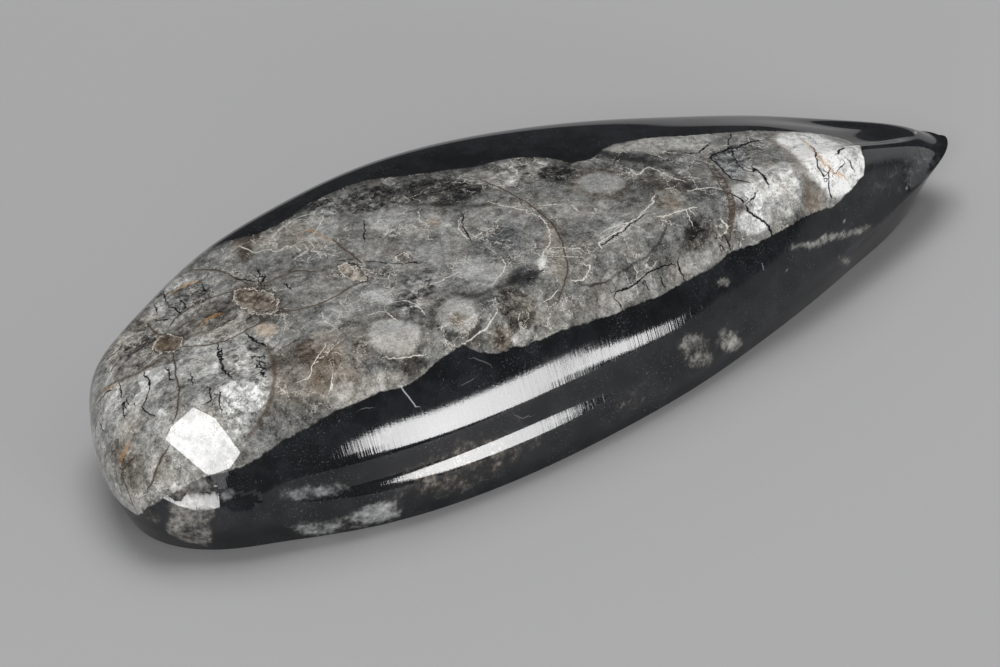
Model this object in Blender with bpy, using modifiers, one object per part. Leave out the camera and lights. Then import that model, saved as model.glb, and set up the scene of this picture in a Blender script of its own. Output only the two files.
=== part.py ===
"""Polished orthoceras fossil lying on its ground underside.

The real thing is one piece: a block of dark limestone, cut and ground by hand so
that the sectioned shell shows along its top. It is boat-shaped from above, with a
broad blunt end and a chisel point, softly domed, with a flat sawn underside that
sweeps up like a bow to the point.

The origin is the middle of the stone's bounding box, on the surface it rests on.
+X runs from the blunt end to the point, -Y is the side of the broad sloping flank
and +Z is up. The named sizes are millimetres; the mesh is built in metres.
"""

import math

import bmesh
import bpy
from mathutils import Matrix, Vector

MM = 0.001
DEGREE = math.pi / 180.0

# Widest outline from above, station by station: place along X, then the half-width
# toward the front (-Y) and toward the back (+Y).
STATIONS = (
    (-57.0, 16.5, 15.0),
    (-50.0, 18.5, 19.0),
    (-40.0, 22.5, 24.0),
    (-28.0, 24.5, 26.5),
    (-15.0, 24.5, 28.0),
    (-2.0, 23.5, 27.5),
    (11.0, 22.0, 25.0),
    (23.0, 19.0, 21.0),
    (34.0, 16.0, 16.5),
    (44.0, 12.5, 12.5),
    (53.0, 9.0, 8.0),
    (60.5, 5.5, 4.5),
)

# How far along X the two ends reach, from the front side to the back side.
BLUNT_END_X = (-63.0, -63.5, -59.5)
POINT_X = (63.5, 64.0, 63.5)
BLUNT_END_SPREAD = 1.3
POINT_SPREAD = 0.9

# Heights above the table. Each row follows the places in HEIGHT_X.
HEIGHT_X = (-64.0, -40.0, -10.0, 20.0, 45.0, 64.0)
CREST_HEIGHT = (17.0, 20.5, 21.5, 21.0, 17.5, 10.0)
CROWN_HEIGHT_FRONT = (20.0, 21.0, 21.0, 20.0, 18.5, 10.0)
CROWN_HEIGHT_BACK = (12.5, 19.0, 21.0, 18.0, 14.0, 10.0)
SHOULDER_HEIGHT_FRONT = (7.5, 12.0, 12.5, 12.5, 11.5, 7.0)
SHOULDER_HEIGHT_BACK = (13.0, 14.0, 14.0, 12.5, 10.0, 7.0)
GIRDLE_HEIGHT_FRONT = (6.0, 5.0, 5.5, 5.5, 6.5, 8.0)
GIRDLE_HEIGHT_BACK = (5.5, 6.0, 6.0, 6.0, 6.5, 7.5)

# Size of each ring as a share of the widest outline: toward the front, toward the
# back, toward the blunt end and toward the point.
TOP_SHARE = (0.55, 0.55, 0.85, 0.86)
CROWN_SHARE = (0.72, 0.90, 0.90, 0.93)
SHOULDER_SHARE = (0.89, 0.94, 1.00, 0.98)
GIRDLE_SHARE = (1.00, 1.00, 1.00, 1.00)
RIM_SHARE = (1.00, 1.00, 0.96, 0.975)
BASE_SHARE = (0.62, 0.62, 0.86, 0.80)

# How far the rim of the underside stands in under the girdle, at the places in
# HEIGHT_X, and how it rises toward the point.
RIM_INSET_FRONT = (2.5, 1.5, 1.0, 2.0, 3.0, 2.0)
RIM_INSET_BACK = (2.0, 2.0, 2.0, 2.0, 2.0, 2.0)
RIM_RISE_FROM_X = 53.0
RIM_RISE = 6.0

ROWS_ACROSS = 3          # rows of points between the front and back edges of the top
TOP_EDGE_LIFT = 0.6      # where the top's edge stands between crown (0) and crest (1)
RIM_CREASE = 1.0
KEEL_CREASE = 0.6        # the ground ridge along the front girdle, toward the point
KEEL_FROM_X = 15.0
KEEL_FULL_X = 50.0
SMOOTHING_LEVELS = 2

# Middle of the smoothed stone's bounding box, which is moved to the origin.
BOX_MIDDLE = Vector((0.35, 1.63, 0.0))

# Facet ground flat on the blunt end's front corner: a point on its plane, and the way
# it faces, as degrees round from +X and up from level.
FACETS = {
    "corner_facet": ((-53.6, -11.9, 14.75), -122.0, 34.0),
}
FACET_TOOL_SIZE = 30.0

# Pits left where crumbly infill broke out: place of the mouth, its two half-widths,
# its depth, and the turn of its long axis from +X in degrees.
PITS = {
    "end_pit": ((-49.1, 6.1, 17.0), (2.2, 1.3), 0.7, 90.0),
    "flake_pit": ((-37.3, 4.1, 19.7), (3.8, 1.6), 0.5, 100.0),
    "vein_pit": ((-26.0, 0.6, 20.8), (2.4, 0.8), 0.5, 102.0),
}

STONE_COLOUR = (0.30, 0.27, 0.23, 1.0)
STONE_ROUGHNESS = 0.16


def clear_scene():
    """Remove every object that the file opened with."""
    for thing in list(bpy.data.objects):
        bpy.data.objects.remove(thing, do_unlink=True)


def new_collection(name, hidden=False):
    """Make a collection under the scene's own."""
    group = bpy.data.collections.new(name)
    group.hide_render = hidden
    bpy.context.scene.collection.children.link(group)
    return group


def size_at(x, sizes):
    """Size in mm at a place along X, between those stated at HEIGHT_X."""
    last = len(HEIGHT_X) - 1
    x = min(max(x, HEIGHT_X[0]), HEIGHT_X[last])
    for left in range(last):
        right = left + 1
        if x <= HEIGHT_X[right]:
            share = (x - HEIGHT_X[left]) / (HEIGHT_X[right] - HEIGHT_X[left])
            return sizes[left] + share * (sizes[right] - sizes[left])
    return sizes[last]


def between_sides(x, front_sizes, back_sizes, side):
    """Size in mm at x, blended from the front (side 0) to the back (side 1)."""
    front = size_at(x, front_sizes)
    back = size_at(x, back_sizes)
    return front + side * (back - front)


def end_rows(end_x, station, spread):
    """Outline points (x, y, side) across one end, from the front to the back."""
    _, front, back = station
    points = []
    for row in range(ROWS_ACROSS):
        across = 2.0 * (row + 1) / (ROWS_ACROSS + 1) - 1.0
        half_width = front if across < 0 else back
        points.append((end_x[row], across * half_width * spread, (across + 1.0) / 2.0))
    return points


def outline():
    """Outline points (x, y, side) once round the stone, from the blunt end's front."""
    front = [(x, -near, 0.0) for x, near, _ in STATIONS]
    back = [(x, far, 1.0) for x, _, far in STATIONS]
    point = end_rows(POINT_X, STATIONS[-1], POINT_SPREAD)
    blunt = end_rows(BLUNT_END_X, STATIONS[0], BLUNT_END_SPREAD)
    return front + point + back[::-1] + blunt[::-1]


def shared(x, y, share):
    """Scale an outline point toward the middle of the stone."""
    to_front, to_back, to_blunt, to_point = share
    return x * (to_blunt if x < 0 else to_point), y * (to_front if y < 0 else to_back)


def top_point(station, across):
    """Point of the domed top over a station, from the front (-1) to the back (1)."""
    x, front, back = station
    crest = size_at(x, CREST_HEIGHT)
    crown = size_at(x, CROWN_HEIGHT_FRONT if across < 0 else CROWN_HEIGHT_BACK)
    edge = crown + TOP_EDGE_LIFT * (crest - crown)
    half_width = front if across < 0 else back
    px, py = shared(x, across * half_width, TOP_SHARE)
    return Vector((px, py, crest + (edge - crest) * across * across))


def ring(share, front_heights, back_heights):
    """Ring of points round the stone at one level of its flank."""
    points = []
    for x, y, side in outline():
        px, py = shared(x, y, share)
        points.append(Vector((px, py, between_sides(x, front_heights, back_heights, side))))
    return points


def rim_ring():
    """Edge of the underside: flat on the table, rising like a bow to the point."""
    points = []
    for x, y, side in outline():
        px, _ = shared(x, y, RIM_SHARE)
        width = max(abs(y) - between_sides(x, RIM_INSET_FRONT, RIM_INSET_BACK, side), 0.0)
        rise = max(x - RIM_RISE_FROM_X, 0.0) / (POINT_X[1] - RIM_RISE_FROM_X)
        points.append(Vector((px, width if y > 0 else -width, RIM_RISE * rise ** 1.2)))
    return points


def base_ring():
    """Loop that bounds the flat middle of the underside."""
    return [Vector((*shared(x, y, BASE_SHARE), 0.0)) for x, y, _ in outline()]


def base_point(station, across):
    """Point of the flat underside below a station, from the front (-1) to the back (1)."""
    x, front, back = station
    half_width = front if across < 0 else back
    return Vector((*shared(x, across * half_width, BASE_SHARE), 0.0))


def lay_grid(cage, point_over):
    """Lay a grid with a row for each station, and return its boundary in outline order."""
    count = len(STATIONS)
    columns = ROWS_ACROSS + 2
    rows = [[None] * columns for _ in STATIONS]
    made = bmesh.ops.create_grid(cage, x_segments=count - 1, y_segments=columns - 1, size=1.0)
    for corner in made["verts"]:
        station = round((corner.co.x + 1.0) / 2.0 * (count - 1))
        column = round((corner.co.y + 1.0) / 2.0 * (columns - 1))
        rows[station][column] = corner
    for station, row in zip(STATIONS, rows):
        for column, corner in enumerate(row):
            corner.co = point_over(station, 2.0 * column / (columns - 1) - 1.0)
    front = [row[0] for row in rows]
    back = [row[-1] for row in rows]
    return front + rows[-1][1:-1] + back[::-1] + rows[0][1:-1][::-1]


def grow_ring(cage, loop, points):
    """Extrude the open edge of the cage to a new ring of points."""
    edges = [cage.edges.get((a, b)) for a, b in zip(loop, loop[1:] + loop[:1])]
    made = bmesh.ops.extrude_edge_only(cage, edges=edges)
    fresh = {item for item in made["geom"] if isinstance(item, bmesh.types.BMVert)}
    grown = []
    for corner, point in zip(loop, points):
        partner = next(
            edge.other_vert(corner) for edge in corner.link_edges if edge.other_vert(corner) in fresh
        )
        partner.co = point
        grown.append(partner)
    return grown


def fill_base(cage, loop):
    """Close the flat underside with a grid welded to the ring round it."""
    grid_edge = lay_grid(cage, base_point)
    bmesh.ops.weld_verts(cage, targetmap=dict(zip(grid_edge, loop)))


def crease_loop(cage, loop, crease_at):
    """Sharpen the edges of a loop, each by the crease at its middle."""
    layer = cage.edges.layers.float.get("crease_edge") or cage.edges.layers.float.new("crease_edge")
    for a, b in zip(loop, loop[1:] + loop[:1]):
        cage.edges.get((a, b))[layer] = crease_at((a.co + b.co) / 2.0)


def rim_crease(_):
    """The rim of the underside is sharp all round."""
    return RIM_CREASE


def keel_crease(place):
    """The girdle sharpens into a ridge along the front, toward the point."""
    if place.y >= 0.0:
        return 0.0
    growth = (place.x - KEEL_FROM_X) / (KEEL_FULL_X - KEEL_FROM_X)
    return KEEL_CREASE * min(max(growth, 0.0), 1.0)


def build_cage():
    """Coarse closed cage of the whole stone."""
    cage = bmesh.new()
    loop = lay_grid(cage, top_point)
    loop = grow_ring(cage, loop, ring(CROWN_SHARE, CROWN_HEIGHT_FRONT, CROWN_HEIGHT_BACK))
    loop = grow_ring(cage, loop, ring(SHOULDER_SHARE, SHOULDER_HEIGHT_FRONT, SHOULDER_HEIGHT_BACK))
    girdle = grow_ring(cage, loop, ring(GIRDLE_SHARE, GIRDLE_HEIGHT_FRONT, GIRDLE_HEIGHT_BACK))
    rim = grow_ring(cage, girdle, rim_ring())
    base = grow_ring(cage, rim, base_ring())
    fill_base(cage, base)
    crease_loop(cage, rim, rim_crease)
    crease_loop(cage, girdle, keel_crease)
    bmesh.ops.recalc_face_normals(cage, faces=cage.faces)
    bmesh.ops.translate(cage, verts=cage.verts, vec=-BOX_MIDDLE)
    bmesh.ops.scale(cage, verts=cage.verts, vec=Vector((MM, MM, MM)))
    return cage


def stone_material():
    """Mean colour of the dark limestone and the pale shell together, polished."""
    finish = bpy.data.materials.new("polished_limestone")
    finish.use_nodes = True
    shader = finish.node_tree.nodes["Principled BSDF"]
    shader.inputs["Base Color"].default_value = STONE_COLOUR
    shader.inputs["Roughness"].default_value = STONE_ROUGHNESS
    shader.inputs["Metallic"].default_value = 0.0
    finish.diffuse_color = STONE_COLOUR
    return finish


def build_stone(group):
    """The one piece: cage, smoothed by a Subdivision Surface."""
    cage = build_cage()
    mesh = bpy.data.meshes.new("orthoceras_fossil")
    cage.to_mesh(mesh)
    cage.free()
    mesh.shade_smooth()
    mesh.materials.append(stone_material())
    stone = bpy.data.objects.new("orthoceras_fossil", mesh)
    group.objects.link(stone)
    smooth = stone.modifiers.new("smooth", "SUBSURF")
    smooth.levels = SMOOTHING_LEVELS
    smooth.render_levels = SMOOTHING_LEVELS
    return stone


def as_cutter(name, form, group):
    """Hidden object of a cutting shape, which is freed."""
    mesh = bpy.data.meshes.new(name)
    form.to_mesh(mesh)
    form.free()
    cutter = bpy.data.objects.new(name, mesh)
    cutter.hide_render = True
    cutter.display_type = "WIRE"
    group.objects.link(cutter)
    return cutter


def facet_cutter(name, place, azimuth, elevation, group):
    """Block that grinds off what stands proud of a facet's plane."""
    level = math.cos(elevation * DEGREE)
    facing = Vector((level * math.cos(azimuth * DEGREE), level * math.sin(azimuth * DEGREE),
                     math.sin(elevation * DEGREE)))
    block = bmesh.new()
    bmesh.ops.create_cube(block, size=FACET_TOOL_SIZE)
    centre = Vector(place) - BOX_MIDDLE + facing * FACET_TOOL_SIZE / 2.0
    turned = facing.to_track_quat("Z", "Y").to_matrix().to_4x4()
    place_block = Matrix.Scale(MM, 4) @ Matrix.Translation(centre) @ turned
    bmesh.ops.transform(block, matrix=place_block, verts=block.verts)
    return as_cutter(name, block, group)


def pit_cutter(name, place, half_widths, depth, turn, group):
    """Squashed ball that scoops one shallow pit out of the top."""
    long_half, short_half = half_widths
    radius = (long_half ** 2 + depth ** 2) / (2.0 * depth)
    ball = bmesh.new()
    bmesh.ops.create_icosphere(ball, subdivisions=4, radius=radius)
    centre = Vector(place) - BOX_MIDDLE + Vector((0.0, 0.0, radius - depth))
    turned = Matrix.Rotation(turn * DEGREE, 4, "Z")
    squashed = Matrix.Diagonal((1.0, short_half / long_half, 1.0, 1.0))
    place_ball = Matrix.Scale(MM, 4) @ Matrix.Translation(centre) @ turned @ squashed
    bmesh.ops.transform(ball, matrix=place_ball, verts=ball.verts)
    return as_cutter(name, ball, group)


def cut_away(stone, name, cutter):
    """Take a cutter's shape out of the stone."""
    cut = stone.modifiers.new(name, "BOOLEAN")
    cut.operation = "DIFFERENCE"
    cut.solver = "EXACT"
    cut.object = cutter


def grind_and_pit(stone, group):
    """Grind every facet and scoop every pit out of the stone."""
    for name, (place, azimuth, elevation) in FACETS.items():
        cut_away(stone, name, facet_cutter(f"{name}_cutter", place, azimuth, elevation, group))
    for name, (place, half_widths, depth, turn) in PITS.items():
        cut_away(stone, name, pit_cutter(f"{name}_cutter", place, half_widths, depth, turn, group))


def main():
    """Build the fossil from nothing."""
    clear_scene()
    stone = build_stone(new_collection("orthoceras_fossil"))
    grind_and_pit(stone, new_collection("cutters", hidden=True))


main()
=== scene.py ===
"""Looks of the polished orthoceras fossil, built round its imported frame.

One piece of dark limestone, ground and polished by hand so that the shell inside shows
as a pale section along its top. The stone's form repeats the frame's own named sizes,
smoothed further; its finish is procedural. Sizes and places are millimetres in the
stone's frame, +X from the blunt end to the point, -Y the broad front flank and +Z up.
"""

import logging
import math
from dataclasses import dataclass, field
from enum import Enum
from typing import Dict, Iterable, List, Optional, Sequence, Tuple, Union

import bmesh
import bpy
import numpy as np
from mathutils import Matrix, Vector
from mathutils import noise as perlin
from mathutils.bvhtree import BVHTree


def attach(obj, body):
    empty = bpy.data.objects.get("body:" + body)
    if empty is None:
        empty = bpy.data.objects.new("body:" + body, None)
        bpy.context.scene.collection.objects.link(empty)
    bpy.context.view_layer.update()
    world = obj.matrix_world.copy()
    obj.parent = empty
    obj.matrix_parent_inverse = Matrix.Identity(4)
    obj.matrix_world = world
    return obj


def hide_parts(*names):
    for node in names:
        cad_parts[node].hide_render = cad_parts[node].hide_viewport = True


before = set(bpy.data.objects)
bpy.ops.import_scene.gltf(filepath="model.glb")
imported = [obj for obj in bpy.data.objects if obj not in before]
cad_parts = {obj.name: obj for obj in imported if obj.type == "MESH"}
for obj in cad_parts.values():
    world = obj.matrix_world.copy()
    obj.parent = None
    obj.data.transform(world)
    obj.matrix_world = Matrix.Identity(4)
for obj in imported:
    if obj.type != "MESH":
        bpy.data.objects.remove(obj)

log = logging.getLogger("orthoceras")

MM = 0.001
NODE = "orthoceras_fossil"
SLOT = "polished_limestone"

Pair = Tuple[float, float]
Triple = Tuple[float, float, float]
Four = Tuple[float, float, float, float]
Loop = List[bmesh.types.BMVert]


def facing(azimuth: float, elevation: float) -> Vector:
    """Unit vector from degrees round from +X and up from level."""
    turn, lift = math.radians(azimuth), math.radians(elevation)
    return Vector((math.cos(lift) * math.cos(turn), math.cos(lift) * math.sin(turn), math.sin(lift)))


def smoothstep(low: float, high: float, values: np.ndarray) -> np.ndarray:
    """Smooth 0 to 1 rise of an array between two bounds, which may fall instead."""
    share = np.clip((values - low) / (high - low), 0.0, 1.0)
    return share * share * (3.0 - 2.0 * share)


# ----------------------------------------------------------------------- form


@dataclass(frozen=True)
class Facet:
    """Face ground on the stone: a point of it, the way it faces, and its corners.

    The curve is the radius of its roll from top to bottom; none leaves it flat.
    Bevel and skirt are the slopes round it, above and below its level line.
    """

    place: Triple
    azimuth: float
    elevation: float
    outline: Tuple[Triple, ...]
    curve: Optional[float] = None
    bevel: float = 0.2
    skirt: float = 0.2

    def slope(self, rise: float) -> float:
        """Slope of the surroundings at a distance above the facet's level line."""
        return self.skirt + (self.bevel - self.skirt) * min(max(rise / MM, 0.0), 1.0)

    def fall(self, down: np.ndarray) -> np.ndarray:
        """Drop below the facet's plane at distances from its level line."""
        return down * 0.0 if self.curve is None else down * down / (2.0 * self.curve * MM)


@dataclass(frozen=True)
class Pit:
    """Shallow hollow where crumbly infill broke out of the top."""

    place: Pair
    half_widths: Pair
    depth: float
    turn: float


@dataclass
class StoneForm:
    """The stone's cage and the fine mesh that smoothing makes of it."""

    stations: Tuple[Triple, ...] = (
        (-57.0, 16.5, 15.0),
        (-50.0, 18.5, 19.0),
        (-40.0, 22.5, 24.0),
        (-28.0, 24.5, 26.5),
        (-15.0, 24.5, 28.0),
        (-2.0, 23.5, 27.5),
        (11.0, 22.0, 25.0),
        (23.0, 19.0, 21.0),
        (34.0, 16.0, 16.5),
        (44.0, 12.5, 12.5),
        (53.0, 9.0, 8.0),
        (60.5, 5.5, 4.5),
    )
    blunt_end_x: Triple = (-63.0, -63.5, -59.5)
    point_x: Triple = (63.5, 64.0, 63.5)
    blunt_end_spread: float = 1.3
    point_spread: float = 0.9
    height_x: Tuple[float, ...] = (-64.0, -40.0, -10.0, 20.0, 45.0, 64.0)
    crest: Tuple[float, ...] = (17.0, 20.5, 21.5, 21.0, 17.5, 10.0)
    crown_front: Tuple[float, ...] = (20.0, 21.0, 21.0, 20.0, 18.5, 10.0)
    crown_back: Tuple[float, ...] = (12.5, 19.0, 21.0, 18.0, 14.0, 10.0)
    shoulder_front: Tuple[float, ...] = (7.5, 12.0, 12.5, 12.5, 11.5, 7.0)
    shoulder_back: Tuple[float, ...] = (13.0, 14.0, 14.0, 12.5, 10.0, 7.0)
    girdle_front: Tuple[float, ...] = (6.0, 5.0, 5.5, 5.5, 6.5, 8.0)
    girdle_back: Tuple[float, ...] = (5.5, 6.0, 6.0, 6.0, 6.5, 7.5)
    rim_inset_front: Tuple[float, ...] = (2.5, 1.5, 1.0, 2.0, 3.0, 2.0)
    rim_inset_back: Tuple[float, ...] = (2.0, 2.0, 2.0, 2.0, 2.0, 2.0)
    top_share: Four = (0.55, 0.55, 0.85, 0.86)
    crown_share: Four = (0.72, 0.90, 0.90, 0.93)
    shoulder_share: Four = (0.89, 0.94, 1.00, 0.98)
    girdle_share: Four = (1.00, 1.00, 1.00, 1.00)
    rim_share: Four = (1.00, 1.00, 0.96, 0.975)
    base_share: Four = (0.62, 0.62, 0.86, 0.80)
    rim_rise_from_x: float = 53.0
    rim_rise: float = 6.0
    rim_rise_power: float = 1.2
    rows_across: int = 3
    top_edge_lift: float = 0.6
    rim_crease: float = 1.0
    keel_crease: float = 0.6
    keel_from_x: float = 15.0
    keel_full_x: float = 50.0
    box_middle: Triple = (0.35, 1.63, 0.0)
    smoothing_levels: int = 4
    facets: Tuple[Facet, ...] = (
        Facet(
            (-54.30, -13.30, 14.05), -123.9, 36.3,
            (
                (-57.90, -9.80, 14.90), (-55.40, -15.30, 11.50), (-54.90, -15.70, 11.40),
                (-50.60, -17.10, 12.20), (-52.30, -12.90, 16.90), (-53.80, -10.60, 17.80),
            ),
        ),
        Facet(
            (-56.95, -15.07, 8.76), -124.0, 22.0,
            (
                (-57.40, -14.80, 10.40), (-60.40, -13.10, 8.80), (-59.30, -14.70, 8.00), (-57.30, -16.40, 7.20),
                (-55.10, -17.30, 7.50), (-54.90, -17.00, 8.80), (-55.90, -15.40, 11.00),
            ),
            curve=34.0, bevel=-0.5, skirt=0.22,
        ),
    )
    facet_slack: float = 1e-4
    facet_reach: float = 7.5
    flank_steps: int = 60
    flank_slopes: Tuple[Pair, ...] = (
        (4.2, 0.0), (4.6, 0.15), (5.0, 0.28), (5.8, 0.27), (6.7, 0.20), (7.2, 0.05), (8.0, -0.04), (9.2, -0.08),
        (9.7, -0.01), (10.2, 0.0),
    )
    flank_rise: float = 0.045
    flank_sink: float = 1.2
    flank_turning: Pair = (-12.0, 14.0)
    shrink: float = 0.9985
    flank_start: Pair = (-56.0, -44.0)
    flank_end: Pair = (32.0, 16.0)
    flank_inner: Pair = (-4.0, -14.0)

    def size_at(self, x: float, sizes: Sequence[float]) -> float:
        """Size at a place along X, between those stated at height_x."""
        return float(np.interp(x, self.height_x, sizes))

    def between_sides(self, x: float, front: Sequence[float], back: Sequence[float], side: float) -> float:
        """Size at x, blended from the front (side 0) to the back (side 1)."""
        near = self.size_at(x, front)
        return near + side * (self.size_at(x, back) - near)

    def end_rows(self, end_x: Triple, station: Triple, spread: float) -> List[Triple]:
        """Outline points (x, y, side) across one end, from the front to the back."""
        _, front, back = station
        points = []
        for row in range(self.rows_across):
            across = 2.0 * (row + 1) / (self.rows_across + 1) - 1.0
            half_width = front if across < 0 else back
            points.append((end_x[row], across * half_width * spread, (across + 1.0) / 2.0))
        return points

    def outline(self) -> List[Triple]:
        """Outline points (x, y, side) once round the stone, from the blunt end's front."""
        front = [(x, -near, 0.0) for x, near, _ in self.stations]
        back = [(x, far, 1.0) for x, _, far in self.stations]
        point = self.end_rows(self.point_x, self.stations[-1], self.point_spread)
        blunt = self.end_rows(self.blunt_end_x, self.stations[0], self.blunt_end_spread)
        return front + point + back[::-1] + blunt[::-1]

    @staticmethod
    def shared(x: float, y: float, share: Four) -> Pair:
        """Scale an outline point toward the middle of the stone."""
        to_front, to_back, to_blunt, to_point = share
        return x * (to_blunt if x < 0 else to_point), y * (to_front if y < 0 else to_back)

    def top_point(self, station: Triple, across: float) -> Vector:
        """Point of the domed top over a station, from the front (-1) to the back (1)."""
        x, front, back = station
        crest = self.size_at(x, self.crest)
        crown = self.size_at(x, self.crown_front if across < 0 else self.crown_back)
        edge = crown + self.top_edge_lift * (crest - crown)
        half_width = front if across < 0 else back
        px, py = self.shared(x, across * half_width, self.top_share)
        return Vector((px, py, crest + (edge - crest) * across * across))

    def base_point(self, station: Triple, across: float) -> Vector:
        """Point of the flat underside below a station, from the front (-1) to the back (1)."""
        x, front, back = station
        half_width = front if across < 0 else back
        return Vector((*self.shared(x, across * half_width, self.base_share), 0.0))

    def ring(self, share: Four, front: Sequence[float], back: Sequence[float]) -> List[Vector]:
        """Ring of points round the stone at one level of its flank."""
        points = []
        for x, y, side in self.outline():
            px, py = self.shared(x, y, share)
            points.append(Vector((px, py, self.between_sides(x, front, back, side))))
        return points

    def rim_ring(self) -> List[Vector]:
        """Edge of the underside: flat on the table, rising like a bow to the point."""
        points = []
        for x, y, side in self.outline():
            px, _ = self.shared(x, y, self.rim_share)
            inset = self.between_sides(x, self.rim_inset_front, self.rim_inset_back, side)
            width = max(abs(y) - inset, 0.0)
            rise = max(x - self.rim_rise_from_x, 0.0) / (self.point_x[1] - self.rim_rise_from_x)
            height = self.rim_rise * rise ** self.rim_rise_power
            points.append(Vector((px, math.copysign(width, y), height)))
        return points

    def base_ring(self) -> List[Vector]:
        """Loop that bounds the flat middle of the underside."""
        return [Vector((*self.shared(x, y, self.base_share), 0.0)) for x, y, _ in self.outline()]

    def lay_grid(self, cage: bmesh.types.BMesh, point_over) -> Loop:
        """Lay a grid with a row for each station.

        Args:
            cage: the mesh that takes the grid.
            point_over: gives the point over a station and a share across.

        Returns:
            The grid's boundary, in the outline's order.
        """
        count = len(self.stations)
        columns = self.rows_across + 2
        rows = [[None] * columns for _ in self.stations]
        made = bmesh.ops.create_grid(cage, x_segments=count - 1, y_segments=columns - 1, size=1.0)
        for corner in made["verts"]:
            station = round((corner.co.x + 1.0) / 2.0 * (count - 1))
            column = round((corner.co.y + 1.0) / 2.0 * (columns - 1))
            rows[station][column] = corner
        for station, row in zip(self.stations, rows):
            for column, corner in enumerate(row):
                corner.co = point_over(station, 2.0 * column / (columns - 1) - 1.0)
        front = [row[0] for row in rows]
        back = [row[-1] for row in rows]
        return front + rows[-1][1:-1] + back[::-1] + rows[0][1:-1][::-1]

    @staticmethod
    def grow_ring(cage: bmesh.types.BMesh, loop: Loop, points: Sequence[Vector]) -> Loop:
        """Extrude the open edge of the cage to a new ring of points."""
        edges = [cage.edges.get((a, b)) for a, b in zip(loop, loop[1:] + loop[:1])]
        made = bmesh.ops.extrude_edge_only(cage, edges=edges)
        fresh = {item for item in made["geom"] if isinstance(item, bmesh.types.BMVert)}
        grown = []
        for corner, point in zip(loop, points):
            partner = next(
                edge.other_vert(corner) for edge in corner.link_edges if edge.other_vert(corner) in fresh
            )
            partner.co = point
            grown.append(partner)
        return grown

    def crease(self, cage: bmesh.types.BMesh, loop: Loop, crease_at) -> None:
        """Sharpen the edges of a loop, each by the crease at its middle."""
        layer = cage.edges.layers.float.get("crease_edge") or cage.edges.layers.float.new("crease_edge")
        for a, b in zip(loop, loop[1:] + loop[:1]):
            cage.edges.get((a, b))[layer] = crease_at((a.co + b.co) / 2.0)

    def keel_crease_at(self, place: Vector) -> float:
        """Crease of the girdle, which sharpens along the front toward the point."""
        if place.y >= 0.0:
            return 0.0
        growth = (place.x - self.keel_from_x) / (self.keel_full_x - self.keel_from_x)
        return self.keel_crease * min(max(growth, 0.0), 1.0)

    def cage(self) -> bmesh.types.BMesh:
        """Coarse closed cage of the whole stone, in metres."""
        cage = bmesh.new()
        loop = self.lay_grid(cage, self.top_point)
        loop = self.grow_ring(cage, loop, self.ring(self.crown_share, self.crown_front, self.crown_back))
        shoulder = self.ring(self.shoulder_share, self.shoulder_front, self.shoulder_back)
        loop = self.grow_ring(cage, loop, shoulder)
        girdle = self.ring(self.girdle_share, self.girdle_front, self.girdle_back)
        girdle = self.grow_ring(cage, loop, girdle)
        rim = self.grow_ring(cage, girdle, self.rim_ring())
        base = self.grow_ring(cage, rim, self.base_ring())
        grid_edge = self.lay_grid(cage, self.base_point)
        bmesh.ops.weld_verts(cage, targetmap=dict(zip(grid_edge, base)))
        self.crease(cage, rim, lambda place: self.rim_crease)
        self.crease(cage, girdle, self.keel_crease_at)
        bmesh.ops.recalc_face_normals(cage, faces=cage.faces)
        bmesh.ops.translate(cage, verts=cage.verts, vec=-Vector(self.box_middle))
        bmesh.ops.scale(cage, verts=cage.verts, vec=Vector((MM, MM, MM)) * self.shrink)
        return cage

    def smoothed(self) -> bpy.types.Mesh:
        """Fine mesh on the limit surface of the cage."""
        cage = self.cage()
        coarse = bpy.data.meshes.new("cage")
        cage.to_mesh(coarse)
        cage.free()
        holder = bpy.data.objects.new("cage", coarse)
        bpy.context.scene.collection.objects.link(holder)
        smooth = holder.modifiers.new("smooth", "SUBSURF")
        smooth.levels = self.smoothing_levels
        smooth.render_levels = self.smoothing_levels
        ready = holder.evaluated_get(bpy.context.evaluated_depsgraph_get())
        fine = bpy.data.meshes.new_from_object(ready)
        bpy.data.objects.remove(holder, do_unlink=True)
        bpy.data.meshes.remove(coarse)
        return fine

    def straighten(self, form: bmesh.types.BMesh) -> None:
        """Flatten the long front flank down to a ridge just above the rim."""
        places = np.array([corner.co for corner in form.verts]) / MM
        x, y, z = places.T
        turning = smoothstep(*self.flank_turning, x)
        heights, slopes = np.array(self.flank_slopes).T
        levels = np.linspace(heights[0], heights[-1], self.flank_steps)
        slope = np.interp(levels, heights, slopes)
        rise = np.append(0.0, np.cumsum((slope[1:] + slope[:-1]) / 2.0 * np.diff(levels)))
        inward = np.interp(z + self.flank_sink * turning, levels, rise)
        inward += self.flank_rise * turning * np.clip(z - heights[0], 0.0, 2.0 * heights[0])
        inward *= smoothstep(*self.flank_start, x) * smoothstep(*self.flank_end, x)
        inward *= smoothstep(*self.flank_inner, y)
        for corner, shift in zip(form.verts, inward):
            corner.co.y += float(shift) * MM

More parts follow.
